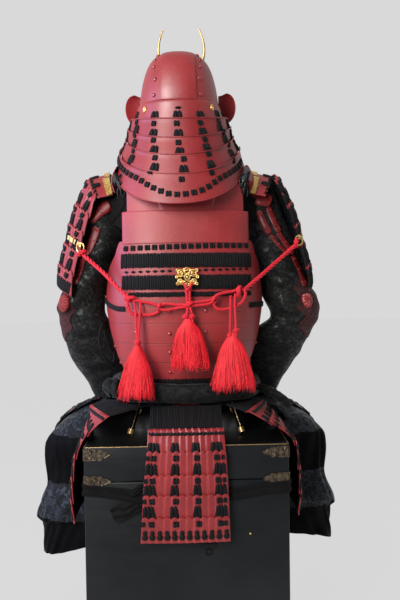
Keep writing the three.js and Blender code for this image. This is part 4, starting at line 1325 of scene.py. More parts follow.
def onNeck(angle, rim, index=None):
    index = min(int(rim), neckLast) if index is None else index
    share = (rim - index) / (1.0 if index == neckLast else neckLames["lap"])
    flare = neckLames["flare"] * (1 - min(share * 5, 1)) ** 2
    tuck = neckLames["tuck"] * max(share - 0.8, 0) / 0.2 if index < neckLast else 0
    lift = neckLames["step"] * (1 - share) + flare - tuck
    return lifted(neckPoint, angle, rim, helmetHeart, lift, 0.5, 0.02)


def placeBowl(u, v):
    angle = mix(-180, 180, u)
    if v < 0.08:
        return bandPoint(angle, 0.3).lerp(bowlPoint(angle, 0), v / 0.08)
    return bowlPoint(angle, min(8 * ((v - 0.08) / 0.92) ** 0.92, 7.985))


# The plate down the middle of the bowl, wider towards its foot.
centrePlate = {"foot": 46, "top": 36, "from": -7, "to": 146, "lift": 2.4, "shift": 2.5}


def placeCentrePlate(u, v):
    climb = mix(centrePlate["from"], centrePlate["to"], v)
    half = mix(centrePlate["foot"], centrePlate["top"], min(v * 1.5, 1))
    x = mix(-half, half, u) + centrePlate["shift"]
    return crownPoint(x, climb, centrePlate["lift"])


def placeBand(u, v):
    angle, down = mix(-128, 128, u), mix(1.02, 0.3, v)
    out = normalOf(bandPoint, angle, max(down, 0.1), helmetHeart, 0.5, 0.02)
    return bandPoint(angle, down) + out * (2.6 * mm * min((1 - v) * 16, 1) ** 0.5)


helmet = {
    "bowl": addGrid("bowlShell", 120, 46, placeBowl, helmetHeart, closed=True),
    "plate": addPlate("centrePlate", placeCentrePlate, helmetHeart, 14, 48, 2.4, 0.9),
    "band": addPlate("waistBandPlate", placeBand, helmetHeart, 96, 12, 2.2, 0.8),
}
modify(helmet["bowl"], "SOLIDIFY", thickness=2.5 * mm, offset=-1)
smoothShade(helmet["bowl"], 50)
finished(helmet["bowl"], "helmetRed", "red_lacquer", "helmet_bowl")
finished(helmet["plate"], "helmetRed", "red_lacquer", "helmet_centre_plate")
finished(helmet["band"], "helmetRed", "red_lacquer", "helmet_waist_band")

# The neck guard's lames, each with a rolled top edge in front of the lame above.
for index, reach in enumerate(neckLames["reach"]):
    last = index == neckLast
    top, bottom = index + 0.001, index + (0.999 if last else neckLames["lap"])

    def placeLame(u, v):
        return onNeck(mix(-reach, reach, u), mix(bottom, top, v), index)

    parts = [addPlate(f"neckLame{index + 1}", placeLame, helmetHeart, 72, 12, 2.2, 0.7)]
    for name, v in [("bead", 1), ("hem", 0)][:2 if last else 1]:
        path, _ = pathThrough([placeLame(u, v) / mm for u in spread(0, 1, 40)], 4 * mm)
        parts.append(smoothShade(addTube(name, framesAlong(path, neckLames[name] / 2 * mm), 8), 60))
    finished(joined(f"neckLame{index + 1}", parts), "lameRed", "red_lacquer", f"neck_lame_{index + 1}")

# Lacing of the helmet, as (turn from the back, rims down).
helmetLacing = {
    "squares": [
        (0, 0.26), (1, 1.3), (5, 2.26), (3, 3.22), (-23.5, 0.26), (-22, 1.2), (-18.5, 2.22),
        (-20.5, 3.0), (23.5, 0.26), (27, 1.24), (29.5, 2.16), (28.5, 3.12), (-52.5, 0.2),
        (-50, 1.08), (-48, 2.14), (-50, 2.9), (51.5, 0.24), (55.5, 1.04), (62.5, 2.12),
        (59.5, 3.08), (-78, 0.3), (-78, 1.3), (-79, 2.3), (78, 0.3), (80, 1.3), (82, 2.3),
    ],
    "drops": [
        (1, 0.72), (2, 1.76), (4.5, 2.74), (-23, 0.72), (-20.5, 1.7), (-17.5, 2.66), (25.5, 0.7),
        (28.5, 1.68), (29.5, 2.68), (-50.5, 0.62), (-49.5, 1.58), (-47.5, 2.56), (52, 0.62),
        (58, 1.52), (61.5, 2.6), (-77, 0.7), (-78, 1.7), (-79, 2.7), (78, 0.7), (80, 1.7), (82, 2.7),
    ],
    "bandDrops": [(-25, 0.74), (0.5, 0.74), (26.5, 0.76), (-66, 0.7), (58.5, 0.72), (-84, 0.7),
                  (82, 0.72)],
    "hem": [(-68.5, 3.32), (-36, 3.34), (-15.5, 3.56), (0.5, 3.72), (17, 3.66), (40, 3.42), (77, 3.5)],
}


# Angles and rims spaced evenly along the hem's row of squares.
def hemRow(pitch):
    table = {"columns": ["angle", "rim"], "rows": helmetLacing["hem"]}
    spots, angle, last = [], -82, None
    while angle < 82:
        rim = smooth(table, "rim", angle)
        point = onNeck(angle, rim)
        if last is None or (point - last).length >= pitch * mm:
            spots.append((angle, rim))
            last = point
        angle += 0.25
    return spots


def onBand(angle, down):
    return placeBand((angle + 128) / 256, (1.02 - down) / 0.72)


neckSteps = (0.6, 0.03)
seats = [seatOn(onNeck, a, r, helmetHeart, 0.6, (a * 7) % 5 - 2, 1, neckSteps)
         for a, r in helmetLacing["squares"]]
seats += [seatOn(onNeck, a, r, helmetHeart, 0.6, (a * 7) % 8 - 4, 1, neckSteps) for a, r in hemRow(19.2)]
finished(copied("neckSquares", squareLace(13.4, 14), seats), "lace", "black_lace")
seats = [seatOn(onNeck, a, r + 0.03, helmetHeart, 0.8, (a * 5) % 9 - 4, 1, neckSteps)
         for a, r in helmetLacing["drops"]]
seats += [seatOn(onBand, a, r + 0.02, helmetHeart, 0.4, 0, (1, 0.86, 1), neckSteps)
          for a, r in helmetLacing["bandDrops"]]
finished(copied("neckDrops", dropLace(2, 21.5, 20), seats), "lace", "black_lace")

# Domed rivets down both sides of the bowl, two gilt eyelets and a slot for the cord ring.
bowlRivets = [(-43, 4.1), (-41.5, 3.15), (-37.5, 2.25), (-30.5, 1.05), (-30.5, -0.5), (44, 4.1),
              (43, 3.15), (38.5, 2.25), (32, 1.1), (32, -0.5)]


def onBowl(angle, step):
    if step < 0:
        return bowlPoint(angle, 0).lerp(bandPoint(angle, 0.3), -step)
    return bowlPoint(angle, step)


seats = [seatOn(onBowl, a, s, helmetHeart, 0.3, steps=(0.6, 0.05)) for a, s in bowlRivets]
finished(copied("bowlRivets", dome("rivet", 5.2, 3.6, 18, 6), seats), "rivetRed", "red_lacquer")
ring = addRing("eyelet", 4.4, 1.9, 24, 8)
ring.data.transform(Matrix.Diagonal((0.92, 1.25, 1, 1)))
eyelet = joined("eyelet", [ring, shifted(dome("eyeletCup", 3.4, 0.6, 12, 3), z=-0.2)])
seats = [seatOn(onBand, a, r, helmetHeart, 1.2, steps=neckSteps) for a, r in [(-44.5, 0.58), (48.5, 0.54)]]
finished(copied("bandEyelets", eyelet, seats), "gold", "gilt")
seats = [seatOn(onBand, 1, 0.58, helmetHeart, 0.1, steps=neckSteps, size=(8.2, 3.6, 0.7))]
finished(copied("ringSlot", dome("ringSlot", 1, 1, 20, 4), seats), "gloss", "black_lacquer")


# The turned-back ears, curling towards the back at their outer edge.
def placeEar(side):
    def place(u, v):
        a, b, c, d = (Vector(p) for p in ((114, 1300), (155, 1304), (152, 1380), (120, 1377)))
        curve = a * (1 - v) ** 3 + b * 3 * v * (1 - v) ** 2 + c * 3 * v * v * (1 - v) + d * v**3
        x = mix(100, curve.x, u)
        z = mix(mix(1302, 1376, v), curve.y, u)
        y = 56 - 14 * u**2.2 + 8 * sin(pi * v) * (1 - u)
        return onHelmet(side * x, y, z)

    return place


for side, hand in hands:
    ear = addPlate("ear" + hand.title(), placeEar(side), onHelmet(side * 120, 120, 1340), 18, 26, 2.4, 1.1)
    finished(ear, "helmetRed", "red_lacquer", "turnback_" + hand)

# Slim crest horns, thinner towards their tips.
hornPath = [(7, 139, 1404), (24, 142, 1424), (46, 143, 1462), (60, 142, 1503), (63.5, 141, 1530),
            (59, 139, 1558), (50, 137, 1583)]
for side, hand in hands:
    path, _ = pathThrough([onHelmet(side * x, y, z) / mm for x, y, z in hornPath], 3 * mm)
    frames = framesAlong(path, lambda t: mix(5.0, 2.2, max(t - 0.4, 0) / 0.6) * mm)
    horn = addTube("horn" + hand.title(), frames, 20)
    finished(smoothShade(horn, 60), "horn", "gilt", "horn_" + hand)


# The rounded fin of the crest holder, which shows past the bowl's right side.
def placeFin(u, v):
    a = mix(-70, 110, v) * degree
    return onHelmet(62 + mix(0, 15, u) * cos(a), 66, 1428 + mix(0, 25, u) * sin(a))


fin = addPlate("crestFin", placeFin, onHelmet(60, 200, 1428), 8, 24, 2.4, 0.8)
finished(fin, "helmetRed", "red_lacquer")


# The brim over the brow, and the holder of the horns behind it.
browHalf = bowlHalf(1402)
brimLine = {"columns": ["t", "half", "front", "z"], "rows": [
    (0, 120, 180, 1301), (0.5, 106, 143, 1341), (1, browHalf + 4.5, browHalf * helmetSeat["long"] + 4, 1402)]}


def placeBrim(u, v):
    half, front, z = (smooth(brimLine, name, v) for name in ("half", "front", "z"))
    x, y = oval(180 + mix(-50, 50, u), half, front, front, helmetSeat["power"])
    return onHelmet(x, y, z)


brim = addPlate("browBrim", placeBrim, helmetHeart, 40, 18, 2.6, 1.1)
bpy.ops.mesh.primitive_cube_add(size=1)
holder = rename(bpy.context.object, "hornHolder")
holder.data.transform(Matrix.Diagonal((0.03, 0.016, 0.034, 1)))
modify(holder, "BEVEL", width=3 * mm, segments=4, limit_method="ANGLE")
holder.data.transform(Matrix.Translation(onHelmet(0, 142, 1366)))
finished(brim, "helmetRed", "red_lacquer", "helmet_brim")
finished(smoothShade(holder), "horn", "gilt")
print("helmet")


trunkHeart = Vector((0, 0, 0.8))
backTop = {"columns": ["angle", "z"], "rows": [(0, 984), (51, 984), (61, 950), (74, 925), (88.5, 905)]}
breastTop = {"columns": ["angle", "z"], "rows": [(0, 1046), (37, 1046), (52, 985), (70, 925), (88.5, 905)]}


trunkHem = 624
trunkHalves = {
    "backPlates": (0, backTop, 110, 60, "cuirass_back"),
    "breastPlates": (180, breastTop, 80, 40, "cuirass_front"),
}
for name, (middle, top, columns, rows, node) in trunkHalves.items():
    def placeHalf(u, v):
        angle = mix(-89.2, 89.2, u)
        return bodyPoint(middle + angle, mix(trunkHem, smooth(top, "z", abs(angle)), v))

    finished(addPlate(name, placeHalf, trunkHeart, columns, rows, 3, 1.1), "hoopRed", "red_lacquer", node)

# The plate between the shoulders, with both sides and its top folded back.
shoulderPlate = {"half": 152, "low": 977, "high": 1053, "fold": 7}


def placeShoulderPlate(u, v):
    fold = shoulderPlate["fold"]
    reach = shoulderPlate["half"] + fold
    x = mix(-reach, reach, u)
    z = mix(shoulderPlate["low"], shoulderPlate["high"] + fold, v)
    side = max(abs(x) - shoulderPlate["half"] + 1.5, 0)
    top = max(z - shoulderPlate["high"], 0)
    flat = copysign(min(abs(x), shoulderPlate["half"] - 1.5) + side * 0.28, x)
    point = backPoint(flat, min(z, shoulderPlate["high"]) + top * 0.2)
    out = normalOf(backPoint, flat, 1020, trunkHeart, 0.5, 0.5)
    return point + out * ((2.6 - side * 0.95 - top * 0.9) * mm)


plate = addPlate("shoulderPlate", placeShoulderPlate, trunkHeart, 90, 30, 2.6, 0.4)
finished(plate, "plateRed", "red_lacquer", "back_upper_panel")


# The nape plate rises behind it, with a raised middle that tapers downwards.
def placeNape(u, v):
    x, z = mix(-143, 143, u), mix(1040, 1121, v)
    middle = mix(58, 78, v)
    rise = 3.0 * min(max((middle - abs(x)) / 3, 0), 1)
    out = normalOf(backPoint, x, min(z, 1120), trunkHeart, 0.5, 0.5)
    return backPoint(x, z) + out * ((-5.0 + rise) * mm)


plate = addPlate("napePlate", placeNape, trunkHeart, 144, 14, 3, 0.7)
finished(plate, "plateRed", "red_lacquer", "nape_plate")


# One cord of the wide bands: two strands side by side with pointed ends.
def bandLace(width, height):
    strands = [shifted(addLobe("lace", width * 0.56, height, 5.4, 2.6, 2.6, 8, 10), x=side * width * 0.24)
               for side in (-1, 1)]
    return joined("bandLace", [*strands, addLobe("lace", width * 0.3, height * 0.94, 4.4, 3, 3, 6, 6)])


bands = [
    {"name": "upperBand", "z": 936.5, "height": 36, "from": -152, "to": 152, "count": 37},
    {"name": "lowerBand", "z": 885, "height": 36, "from": -150, "to": 152, "count": 37},
    {"name": "thinBand", "z": 857, "height": 12, "from": -134, "to": 150, "count": 34},
    {"name": "hemBand", "z": 641, "height": 30, "from": -104, "to": 108, "count": 27},
]
backSteps = (0.5, 0.5)
for band in bands:
    pitch = (band["to"] - band["from"]) / (band["count"] - 1)
    seats = [seatOn(backPoint, x, band["z"] + (k * 37 % 5 - 2) * 0.22, trunkHeart, 1.0,
                    (k * 13 % 7 - 3) * 0.25, steps=backSteps)
             for k, x in enumerate(spread(band["from"], band["to"], band["count"]))]
    finished(copied(band["name"], bandLace(pitch, band["height"]), seats), "lace", "black_lace")

# A ribbon under each of the upper bands closes it between the cords.
for band in bands[:3]:
    def placeRibbon(u, v):
        reach = 0.5 * band["height"] - 3
        x, z = mix(band["from"] - 1, band["to"] + 1, u), band["z"] + mix(-reach, reach, v)
        return lifted(backPoint, x, z, trunkHeart, 1.6)

    ribbon = addPlate(band["name"] + "Ground", placeRibbon, trunkHeart, 50, 3, 1.4, 0.2)
    finished(ribbon, "lace", "black_lace")

rowPitch = 16.86
squareRow = [(-143.2 + rowPitch * i, 965.8 + 0.33 * i) for i in range(18)]
seats = [seatOn(backPoint, x, z, trunkHeart, 0.5, (i * 11 % 7 - 3), steps=backSteps)
         for i, (x, z) in enumerate(squareRow)]
finished(copied("backSquares", squareLace(13.0, 13.4), seats), "lace", "black_lace")
diamondRow = [(-143 + rowPitch * i, 909.8 + 0.3 * i) for i in range(18)]
seats = [seatOn(backPoint, x, z, trunkHeart, 0.5, (i * 5 % 7 - 3) * 1.5, steps=backSteps)
         for i, (x, z) in enumerate(diamondRow)]
diamond = shifted(addLobe("diamondLace", 7.4, 13.4, 5, 1.25, 1.25, 10, 10), turn=90)
finished(copied("backDiamonds", diamond, seats), "lace", "black_lace")

backRivets = [(-41, 817), (41, 818), (126, 817), (-43, 765), (41, 768), (124, 771), (-43, 720), (41, 721),
              (-43, 672), (40, 674), (-126, 817), (-124, 768)]
sideRivets = [(-76, 729), (-82.5, 685), (78.5, 731), (-85.5, 851), (76.5, 685)]
seats = [seatOn(backPoint, x, z, trunkHeart, 0.2, steps=backSteps) for x, z in backRivets]
seats += [seatOn(bodyPoint, a, z, trunkHeart, 0.2, steps=backSteps) for a, z in sideRivets]
seats += [seatOn(bodyPoint, 180 + a, z, trunkHeart, 0.2, steps=backSteps)
          for z in (690, 770, 850) for a in (-30, 30)]
finished(copied("trunkRivets", dome("rivet", 4.7, 3.2, 16, 6), seats), "rivetRed", "red_lacquer")

# Short flat ties at the sides.
ties = {
    "tieLeft": [(-88, 848), (-76, 838), (-67.5, 832), (-58, 826), (-51, 823.5), (-44, 823)],
    "tieRight": [(45, 828), (52, 828.5), (62, 828), (76, 829)],
}
for name, spots in ties.items():
    table = {"columns": ["angle", "z"], "rows": spots}

    def placeTie(u, v):
        angle = mix(spots[0][0], spots[-1][0], u)
        z = smooth(table, "z", angle) + mix(-6, 6, v) + 0.5 * sin(angle * 1.9)
        return lifted(bodyPoint, angle, z, trunkHeart, 3.2 + 0.7 * sin(angle * 2.4))

    finished(addPlate(name, placeTie, trunkHeart, 60, 6, 2.6, 0.9), "lace", "black_lace")

# Shoulder straps: quilted cloth from the nape over to the breast.
strapPath = {"columns": ["share", "y", "z", "x"], "rows": [
    (0, -104, 1092, 112), (0.14, -98, 1124, 112), (0.3, -66, 1144, 113), (0.5, -10, 1152, 114),
    (0.68, 45, 1146, 112), (0.84, 92, 1108, 106), (1, 106, 1040, 102)]}
for side, hand in hands:
    def placeStrap(u, v):
        x, y, z = (smooth(strapPath, name, v) for name in "xyz")
        swell = 1.6 * sin(pi * u) ** 0.5 * (0.75 + 0.25 * cos(v * 60))
        return onCuirass(side * (x + mix(-29, 29, u)), y, z + swell)

    strap = addPlate("strap" + hand.title(), placeStrap, onCuirass(side * 112, 0, 1050), 16, 60, 8, 1.5)
    finished(strap, "cotton", "black_cloth", "shoulder_strap_" + hand)
    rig.padded(strap, 0.5)
print("trunk")


hipHeart, skirtHeart = Vector((0, 0, 0.3)), Vector((0, 90, 300)) * mm
roll = {"half": 176, "back": 151, "front": 149, "power": 2.5, "z": 624, "thick": 16.5, "tall": 25}


# A sum of slow waves with seeded phases, from -1 to 1, for folds and lumps.
def unevenness(seed, waves, low, high):
    dice = random.Random(seed)
    parts = [(dice.randint(low, high), dice.uniform(0, 2 * pi), dice.uniform(0.5, 1))
             for _ in range(waves)]
    whole = sum(size for _, _, size in parts)
    return lambda turn: sum(size * sin(count * turn + phase) for count, phase, size in parts) / whole


rollLump, rollTwist = unevenness(5, 7, 3, 26), unevenness(8, 5, 2, 9)


def placeRoll(u, v):
    a, around = u * 2 * pi, v * 2 * pi
    x, y = oval(degrees(a), roll["half"], roll["back"], roll["front"], roll["power"])
    out = Vector((x, y, 0)).normalized()
    gather = 1 + 0.09 * rollLump(a + 0.25 * sin(around + 2 * rollTwist(a)))
    thick, tall = roll["thick"] * gather, roll["tall"] * gather
    return (Vector((x, y, roll["z"] + 2.5 * rollTwist(a))) + out * (thick * cos(around))
            + Vector((0, 0, tall * sin(around)))) * mm


def closedRing(name, columns, rows, place):
    mesh = bmesh.new()
    rings = [[mesh.verts.new(place(i / columns, j / rows)) for j in range(rows)] for i in range(columns)]
    for i in range(columns):
        for j in range(rows):
            near, far = rings[i], rings[(i + 1) % columns]
            mesh.faces.new((near[j], far[j], far[(j + 1) % rows], near[(j + 1) % rows]))
    return editAll(pieceFrom(name, mesh), bpy.ops.mesh.normals_make_consistent, inside=False)


# Stuffs a closed cloth: it is remeshed, blown up a little by the cloth solver and kept near its start.
def stuff(piece, cap, voxel=0.005, pressure=4.0, frames=20):
    modify(piece, "REMESH", mode="VOXEL", voxel_size=voxel)
    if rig.quick():
        return smoothShade(piece, 80)
    start = [vertex.co.copy() for vertex in piece.data.vertices]
    cloth = piece.modifiers.new("Cloth", "CLOTH")
    cloth.settings.use_pressure = True
    cloth.settings.uniform_pressure_force = pressure
    cloth.settings.effector_weights.gravity = 0
    cloth.point_cache.frame_start, cloth.point_cache.frame_end = 1, frames
    for frameNumber in range(1, frames + 1):
        bpy.context.scene.frame_set(frameNumber)
    only(piece)
    bpy.ops.object.modifier_apply(modifier=cloth.name)
    bpy.context.scene.frame_set(1)
    for vertex, was in zip(piece.data.vertices, start):
        moved = vertex.co - was
        if moved.length > cap:
            vertex.co = was + moved.normalized() * cap
    modify(piece, "SUBSURF", levels=1, render_levels=1)
    return smoothShade(piece, 80)


waistRoll = stuff(closedRing("waistRoll", 150, 20, placeRoll), cap=0.004)
finished(waistRoll, "velvet", "black_cloth", "waist_roll")
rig.padded(waistRoll, 0.6)

# The rolled ends of the waist cloth: two knotted at the left and one at the right.
tieEnds = [
    (30, [(-176, -98, 634), (-181, -108, 641), (-184, -118, 640), (-180, -128, 632), (-171, -136, 624)]),
    (17, [(-160, -132, 656), (-166, -138, 646), (-168, -144, 632), (-164, -148, 616)]),
    (22, [(176, -96, 628), (196, -104, 622), (218, -104, 610), (240, -98, 594), (254, -92, 578)]),
]
for k, (thick, points) in enumerate(tieEnds):
    path, _ = pathThrough(points, 2 * mm)
    lump = unevenness(20 + k, 5, 2, 12)
    frames = framesAlong(path, lambda t: thick / 2 * mm * sin(pi * mix(0.12, 0.88, t)) ** 0.35
                         * (1 + 0.12 * lump(t * 5)))
    knob = addTube(f"waistTie{k + 1}", frames, 22, lambda turn, n: 1 + 0.1 * lump(turn + n * 0.1))
    finished(smoothShade(knob, 70), "velvet", "black_velvet")

# Curtains of fine cords, from under the roll down to each tasset.
curtains = {
    "centre": {"table": tassetBack, "from": -24, "to": 24, "cords": 28},
    "left": {"table": tassetLeft, "from": -78, "to": -26, "cords": 24},
    "right": {"table": tassetRight, "from": 26, "to": 78, "cords": 24},
}


def curtainPoint(curtain, across, down):
    angle = mix(curtain["from"], curtain["to"], (across + 1) / 2)
    x, y = oval(angle, roll["half"], roll["back"], roll["front"], roll["power"])
    top = Vector((x, y, roll["z"] - 27 - 4)) * mm
    return top.lerp(tassetPoint(curtain["table"], across, 0), down)


for hand, curtain in curtains.items():
    sway = unevenness(30 + curtain["cords"] + len(hand), 6, 2, 18)

    def placeCurtain(u, v):
        down = mix(0.97, 0.0, v)
        across = mix(-0.97, 0.97, u) + 0.012 * sway(u * 6.28) * sin(pi * down)
        rib = abs(sin(pi * u * curtain["cords"]))
        wave = 2.0 * sway(u * 9) * sin(pi * down)
        surface = lambda a, d: curtainPoint(curtain, a, d)
        return lifted(surface, across, down, hipHeart, 1.3 * rib + wave, 0.02, 0.02)

    width = 2 * smooth(curtain["table"], "half", 0) * mm
    span = (curtainPoint(curtain, 0, 0) - curtainPoint(curtain, 0, 1)).length
    cloth = addGrid("curtain" + hand.title(), curtain["cords"] * 6, 8, placeCurtain, hipHeart, (width, span))
    thicken(cloth, 1.6 * mm)
    finished(cloth, "lace", "black_lace", "laces_back_" + hand)
    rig.sheet(cloth, flat=(areaOf(cloth) / 2 / span, span), held="hung", rests_on=["waist_roll"])

# Lames made of upright slats, whose scalloped tops lie over the lame above.
slat = {"rise": 2.6, "scallop": 0.13, "lap": 1.12, "step": 5.0, "thick": 2.2}


# A surface with the laps of its lames. The third number names the lame.
def lapped(surface, inside, rims):
    def place(across, rim, index=None):
        index = min(max(int(rim), 0), rims - 1) if index is None else index
        share = (rim - index) / (1 if index == rims - 1 else slat["lap"])
        return lifted(surface, across, rim, inside, slat["step"] * (1 - share), 0.02, 0.02)

    return place


def addSlattedLames(name, surface, inside, rims, count, columns=7):
    place = lapped(surface, inside, rims)
    parts = []
    for index in range(rims):
        last = index == rims - 1
        reach = 1 if last else slat["lap"]

        def placeSlat(u, v):
            phase = u * count % 1 if u < 1 else 1.0
            crown = sin(pi * phase) ** 0.6 if 0 < phase < 1 else 0
            rim = index + reach * (1 - v) + (0.045 - slat["scallop"] * crown) * v**3
            across = mix(-1, 1, u)
            out = normalOf(surface, across, rim, inside, 0.02, 0.02)
            saw = slat["rise"] * (phase / 0.14 if phase < 0.14 else (1 - phase) / 0.86)
            foot = 1.6 * max(1 - v * 9, 0) ** 2 if last else 0
            return place(across, rim, index) + out * ((saw + foot) * mm)

        parts.append(addPlate("slats", placeSlat, inside, count * columns, 9, slat["thick"]))
    return joined(name, parts)


# A figure-eight of lace: a small lobe over a round one.
def gourdLace(width, height):
    top = shifted(addLobe("lace", width * 0.8, height * 0.46, 5.2, 2.2, 2.2, 10, 8), y=height * 0.27)
    low = shifted(addLobe("lace", width, height * 0.6, 6.2, 2.6, 2.2, 10, 8), y=-height * 0.2)
    seam = shifted(addLobe("lace", height * 0.14, width * 0.86, 6.6, 3, 3, 6, 5), y=-height * 0.2, turn=90)
    return shifted(joined("gourdLace", [top, low, seam]), z=0.5)


def crossLace(width, height):
    left = shifted(addLobe("lace", height * 0.52, width * 1.05, 5, 3, 3, 8, 6), turn=62)
    right = shifted(addLobe("lace", height * 0.44, width * 0.9, 4.2, 3, 3, 8, 6), x=2, turn=-58)
    return joined("crossLace", [left, right])


laceModels = {
    "square": squareLace(11.6, 12.2), "narrow": squareLace(7.6, 10.2), "pair": dropLace(2, 16.5, 25),
    "triple": dropLace(3, 25, 25), "gourd": gourdLace(12, 20), "cross": crossLace(11, 9.5),
    "short": dropLace(2, 16.5, 20), "shortTriple": dropLace(3, 25, 20), "band": bandLace(8.2, 25),
}
for model in laceModels.values():
    model.hide_render = True


# Laces a panel: each kind of lace with its places as (across, rim).
def laceUp(name, place, inside, kinds, steps=(0.03, 0.03), lift=0.9, size=1.0):
    parts = []
    for kind, spots in kinds.items():
        seats = [seatOn(place, across, rim, inside, lift + 0.6, (k * 29 % 9 - 4) * 0.9, size, steps)
                 for k, (across, rim) in enumerate(spots)]
        parts.append(copied(name + kind.title(), laceModels[kind], seats, keep=True))
    return joined(name, parts)


# Faces turned inwards by more than least take a darker material: painted shade on the inner sides of the lames.
def shadeInside(piece, inside, material, least=0.3):
    piece.data.materials.append(look[material])
    for face in piece.data.polygons:
        if face.normal.dot((face.center - inside).normalized()) < -least:
            face.material_index = 1
    return piece


tassetLacing = {
    "cross": [(across, 0.25) for across in spread(-0.92, 0.92, 20)],
    "shortTriple": [(-0.83, 0.77), (0.77, 0.77)],
    "short": [(-0.29, 0.77), (0.24, 0.77)],
    "square": [(a + 0.012 * k, k + 0.21) for k in (1, 2, 3, 4) for a in (-0.82, -0.27, 0.25, 0.74)],
    "narrow": [(a, k + 0.21) for k in (1, 2, 3, 4) for a in (-0.955, 0.905)],
    "triple": [(a, k + 0.69) for k in (1, 2, 3) for a in (-0.85, 0.82)],
    "pair": [(a, k + 0.69) for k in (1, 2, 3) for a in (-0.27, 0.265)],
    "gourd": [(across, 4.68) for across in spread(-0.91, 0.91, 12)],
}
for hand, curtain in curtains.items():
    name, table = "tassetBack" + hand.title(), curtain["table"]
    surface = lambda across, rim: tassetPoint(table, across, rim)
    plates = addSlattedLames(name, surface, hipHeart, 5, 12)
    finished(plates, "lameRed", "red_lacquer", "tasset_back_" + hand)
    # The side tassets get their inner faces painted dark: painted shade.
    if hand != "centre":
        shadeInside(plates, hipHeart, "lining")
    laces = laceUp(name + "Laces", lapped(surface, hipHeart, 5), hipHeart, tassetLacing, size=1.12)
    finished(laces, "lace", "black_lace")

frontRims = {"columns": ["rim", "z", "half", "y"], "rows": [
    (0, 592, 80, 163), (1, 560, 84, 219), (2, 522, 88, 263), (3, 470, 92, 274), (4, 415, 96, 275),
    (5, 360, 99, 277), (6, 305, 102, 280)]}
sideRims = {"columns": ["rim", "z", "from", "to"], "rows": [
    (0, 568, 50, 98), (1, 541, 44, 92), (2, 508, 38, 84), (3, 466, 33, 76), (4, 424, 29, 72),
    (5, 384, 26, 69)]}


def frontPoint(across, rim):
    half, y, z = (smooth(frontRims, name, rim) for name in ("half", "y", "z"))
    return Vector((across * half, y - 4 * across**2, z)) * mm


def sidePoint(side, across, rim):
    start, end = smooth(sideRims, "from", rim), smooth(sideRims, "to", rim)
    angle, z = mix(start, end, (across + 1) / 2), smooth(sideRims, "z", rim)
    return lifted(lambda a, h: skirtPoint(side, a, h), angle, z, skirtHeart, 6, 0.6, 0.6)


panels = {
    "tassetFront": ("tasset_front_centre", frontPoint, hipHeart, 6, 12),
    "tassetSideLeft": ("tasset_side_left", lambda a, r: sidePoint(-1, a, r), skirtHeart, 5, 18),
    "tassetSideRight": ("tasset_side_right", lambda a, r: sidePoint(1, a, r), skirtHeart, 5, 18),
}
panelColumns = (-0.84, -0.28, 0.28, 0.84)
for name, (node, surface, heart, rims, count) in panels.items():
    plates = addSlattedLames(name, surface, heart, rims, count, columns=6)
    finished(plates, "lameRed", "red_lacquer", node)
    if "Side" in name:
        shadeInside(plates, heart, "lining")
        # Faces near the back edge, and those turned to the back, take the dark red and the inside shade: painted shade
        # on red lames seen edge-on.
        plates.data.materials.append(look["darkRed"])
        for face in plates.data.polygons:  # darker towards the back edge, and lined inside
            if face.normal.y < 0.1 or face.center.y < -45 * mm:
                face.material_index = 1 if face.normal.y < -0.12 else 2
    lacing = {
        "cross": tassetLacing["cross"],
        "square": [(a, k + 0.21) for k in range(1, rims) for a in panelColumns],
        "pair": [(a, k + 0.69) for k in range(rims - 1) for a in panelColumns],
        "gourd": [(across, rims - 0.32) for across in spread(-0.93, 0.93, count)],
    }
    laces = laceUp(name + "Laces", lapped(surface, heart, rims), heart, lacing)
    finished(laces, "lace", "black_lace")
print("waist and tassets")


guardColumns = (-0.8, -0.36, 0.08, 0.5, 0.88)
guardLacing = {
    "square": [(a, k + 0.2) for k in range(5) for a in guardColumns],
    "pair": [(a, k + 0.68) for k in range(4) for a in guardColumns],
    "band": [(a, 4.66) for a in spread(-0.93, 0.93, 21)],
}
capLacing = {"pair": [(-0.62, -0.24), (-0.1, -0.24), (0.45, -0.24)],
             "cross": [(a, -0.1) for a in spread(-0.9, 0.9, 16)]}


# A plate raised in scrolls, for hinges and mounts.
def addMount(name, place, inside, columns, rows, rise):
    def embossed(u, v):
        swirl = sin(u * 17 + 2.2 * sin(v * 12)) * sin(v * 15 + 1.7 * sin(u * 9))
        rim = 1 - min(min(u, 1 - u, v, 1 - v) * 9, 1)
        return lifted(place, u, v, inside, rise * (0.6 * abs(swirl) + 0.7 * rim), 0.03, 0.03)

    return addPlate(name, embossed, inside, columns, rows, 1.6, 0.3)


